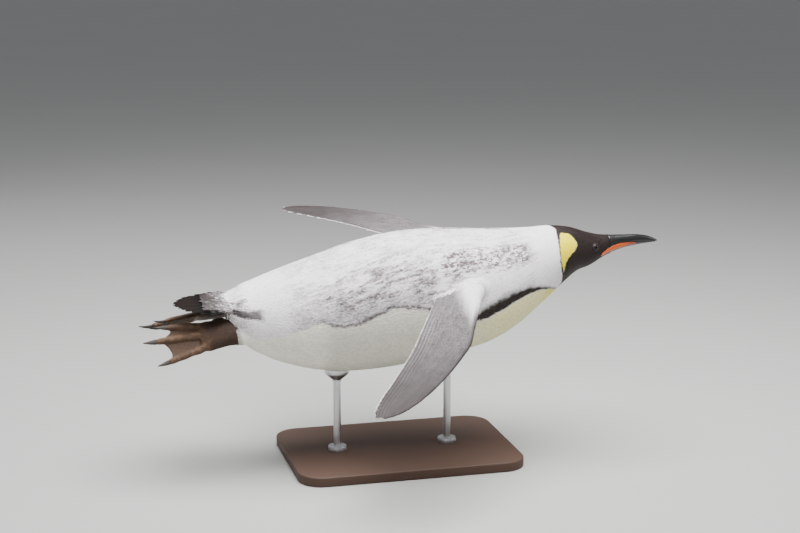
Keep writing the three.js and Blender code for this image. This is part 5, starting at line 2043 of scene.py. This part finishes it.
class PENGUIN_OT_join_coat(bpy.types.Operator):
    """Feathers of the shoulders, armpits, ankles and vent"""
    bl_idname = "penguin.join_coat"
    bl_label = "Joining Feathers"

    def execute(self, context):
        make_join_coat()
        return {"FINISHED"}


class PENGUIN_OT_bill(bpy.types.Operator):
    """Bill halves and coloured plates"""
    bl_idname = "penguin.bill"
    bl_label = "Bill"

    def execute(self, context):
        make_bill()
        return {"FINISHED"}


class PENGUIN_OT_eyes(bpy.types.Operator):
    """Both eyes"""
    bl_idname = "penguin.eyes"
    bl_label = "Eyes"

    def execute(self, context):
        make_eyes()
        return {"FINISHED"}


class PENGUIN_OT_claws(bpy.types.Operator):
    """Claws of the front toes"""
    bl_idname = "penguin.claws"
    bl_label = "Claws"

    def execute(self, context):
        make_claws()
        return {"FINISHED"}


class PENGUIN_OT_stand(bpy.types.Operator):
    """Wooden base, steel rods, collars and cups"""
    bl_idname = "penguin.stand"
    bl_label = "Display Stand"

    def execute(self, context):
        make_base()
        make_metal()
        return {"FINISHED"}


class PENGUIN_OT_stage(bpy.types.Operator):
    """Pale floor, soft lights and camera"""
    bl_idname = "penguin.stage"
    bl_label = "Stage"

    def execute(self, context):
        make_stage()
        return {"FINISHED"}


STEPS = (PENGUIN_OT_skin, PENGUIN_OT_head_coat, PENGUIN_OT_trunk_coat, PENGUIN_OT_wing_coat,
         PENGUIN_OT_legs, PENGUIN_OT_tail, PENGUIN_OT_join_coat, PENGUIN_OT_bill, PENGUIN_OT_eyes,
         PENGUIN_OT_claws, PENGUIN_OT_stand, PENGUIN_OT_stage)
GROUPS = {"penguin_colours": PENGUIN_PG_colours, "penguin_coat": PENGUIN_PG_coat,
          "penguin_stand": PENGUIN_PG_stand, "penguin_stage": PENGUIN_PG_stage}


class PENGUIN_PT_panel(bpy.types.Panel):
    """Builds the penguin step by step"""
    bl_idname = "PENGUIN_PT_panel"
    bl_label = "King Penguin"
    bl_space_type = "VIEW_3D"
    bl_region_type = "UI"
    bl_category = "Penguin"

    def draw(self, context):
        for step in STEPS:
            self.layout.operator(step.bl_idname)
        for key, kind in GROUPS.items():
            box = self.layout.box()
            for name in kind.__annotations__:
                box.prop(getattr(context.scene, key), name)


def register():
    """Adds the panel, its steps and its settings."""
    for kind in (*GROUPS.values(), *STEPS, PENGUIN_PT_panel):
        bpy.utils.register_class(kind)
    for key, kind in GROUPS.items():
        setattr(bpy.types.Scene, key, bpy.props.PointerProperty(type=kind))


def unregister():
    """Takes them away again."""
    for key in GROUPS:
        delattr(bpy.types.Scene, key)
    for kind in reversed((*GROUPS.values(), *STEPS, PENGUIN_PT_panel)):
        bpy.utils.unregister_class(kind)


def main():
    """Builds the whole model step by step."""
    register()
    bpy.ops.penguin.skin()
    bpy.ops.penguin.head_coat()
    bpy.ops.penguin.trunk_coat()
    bpy.ops.penguin.wing_coat()
    bpy.ops.penguin.legs()
    bpy.ops.penguin.tail()
    bpy.ops.penguin.join_coat()
    bpy.ops.penguin.bill()
    bpy.ops.penguin.eyes()
    bpy.ops.penguin.claws()
    bpy.ops.penguin.stand()
    bpy.ops.penguin.stage()


if __name__ == "__main__":
    main()
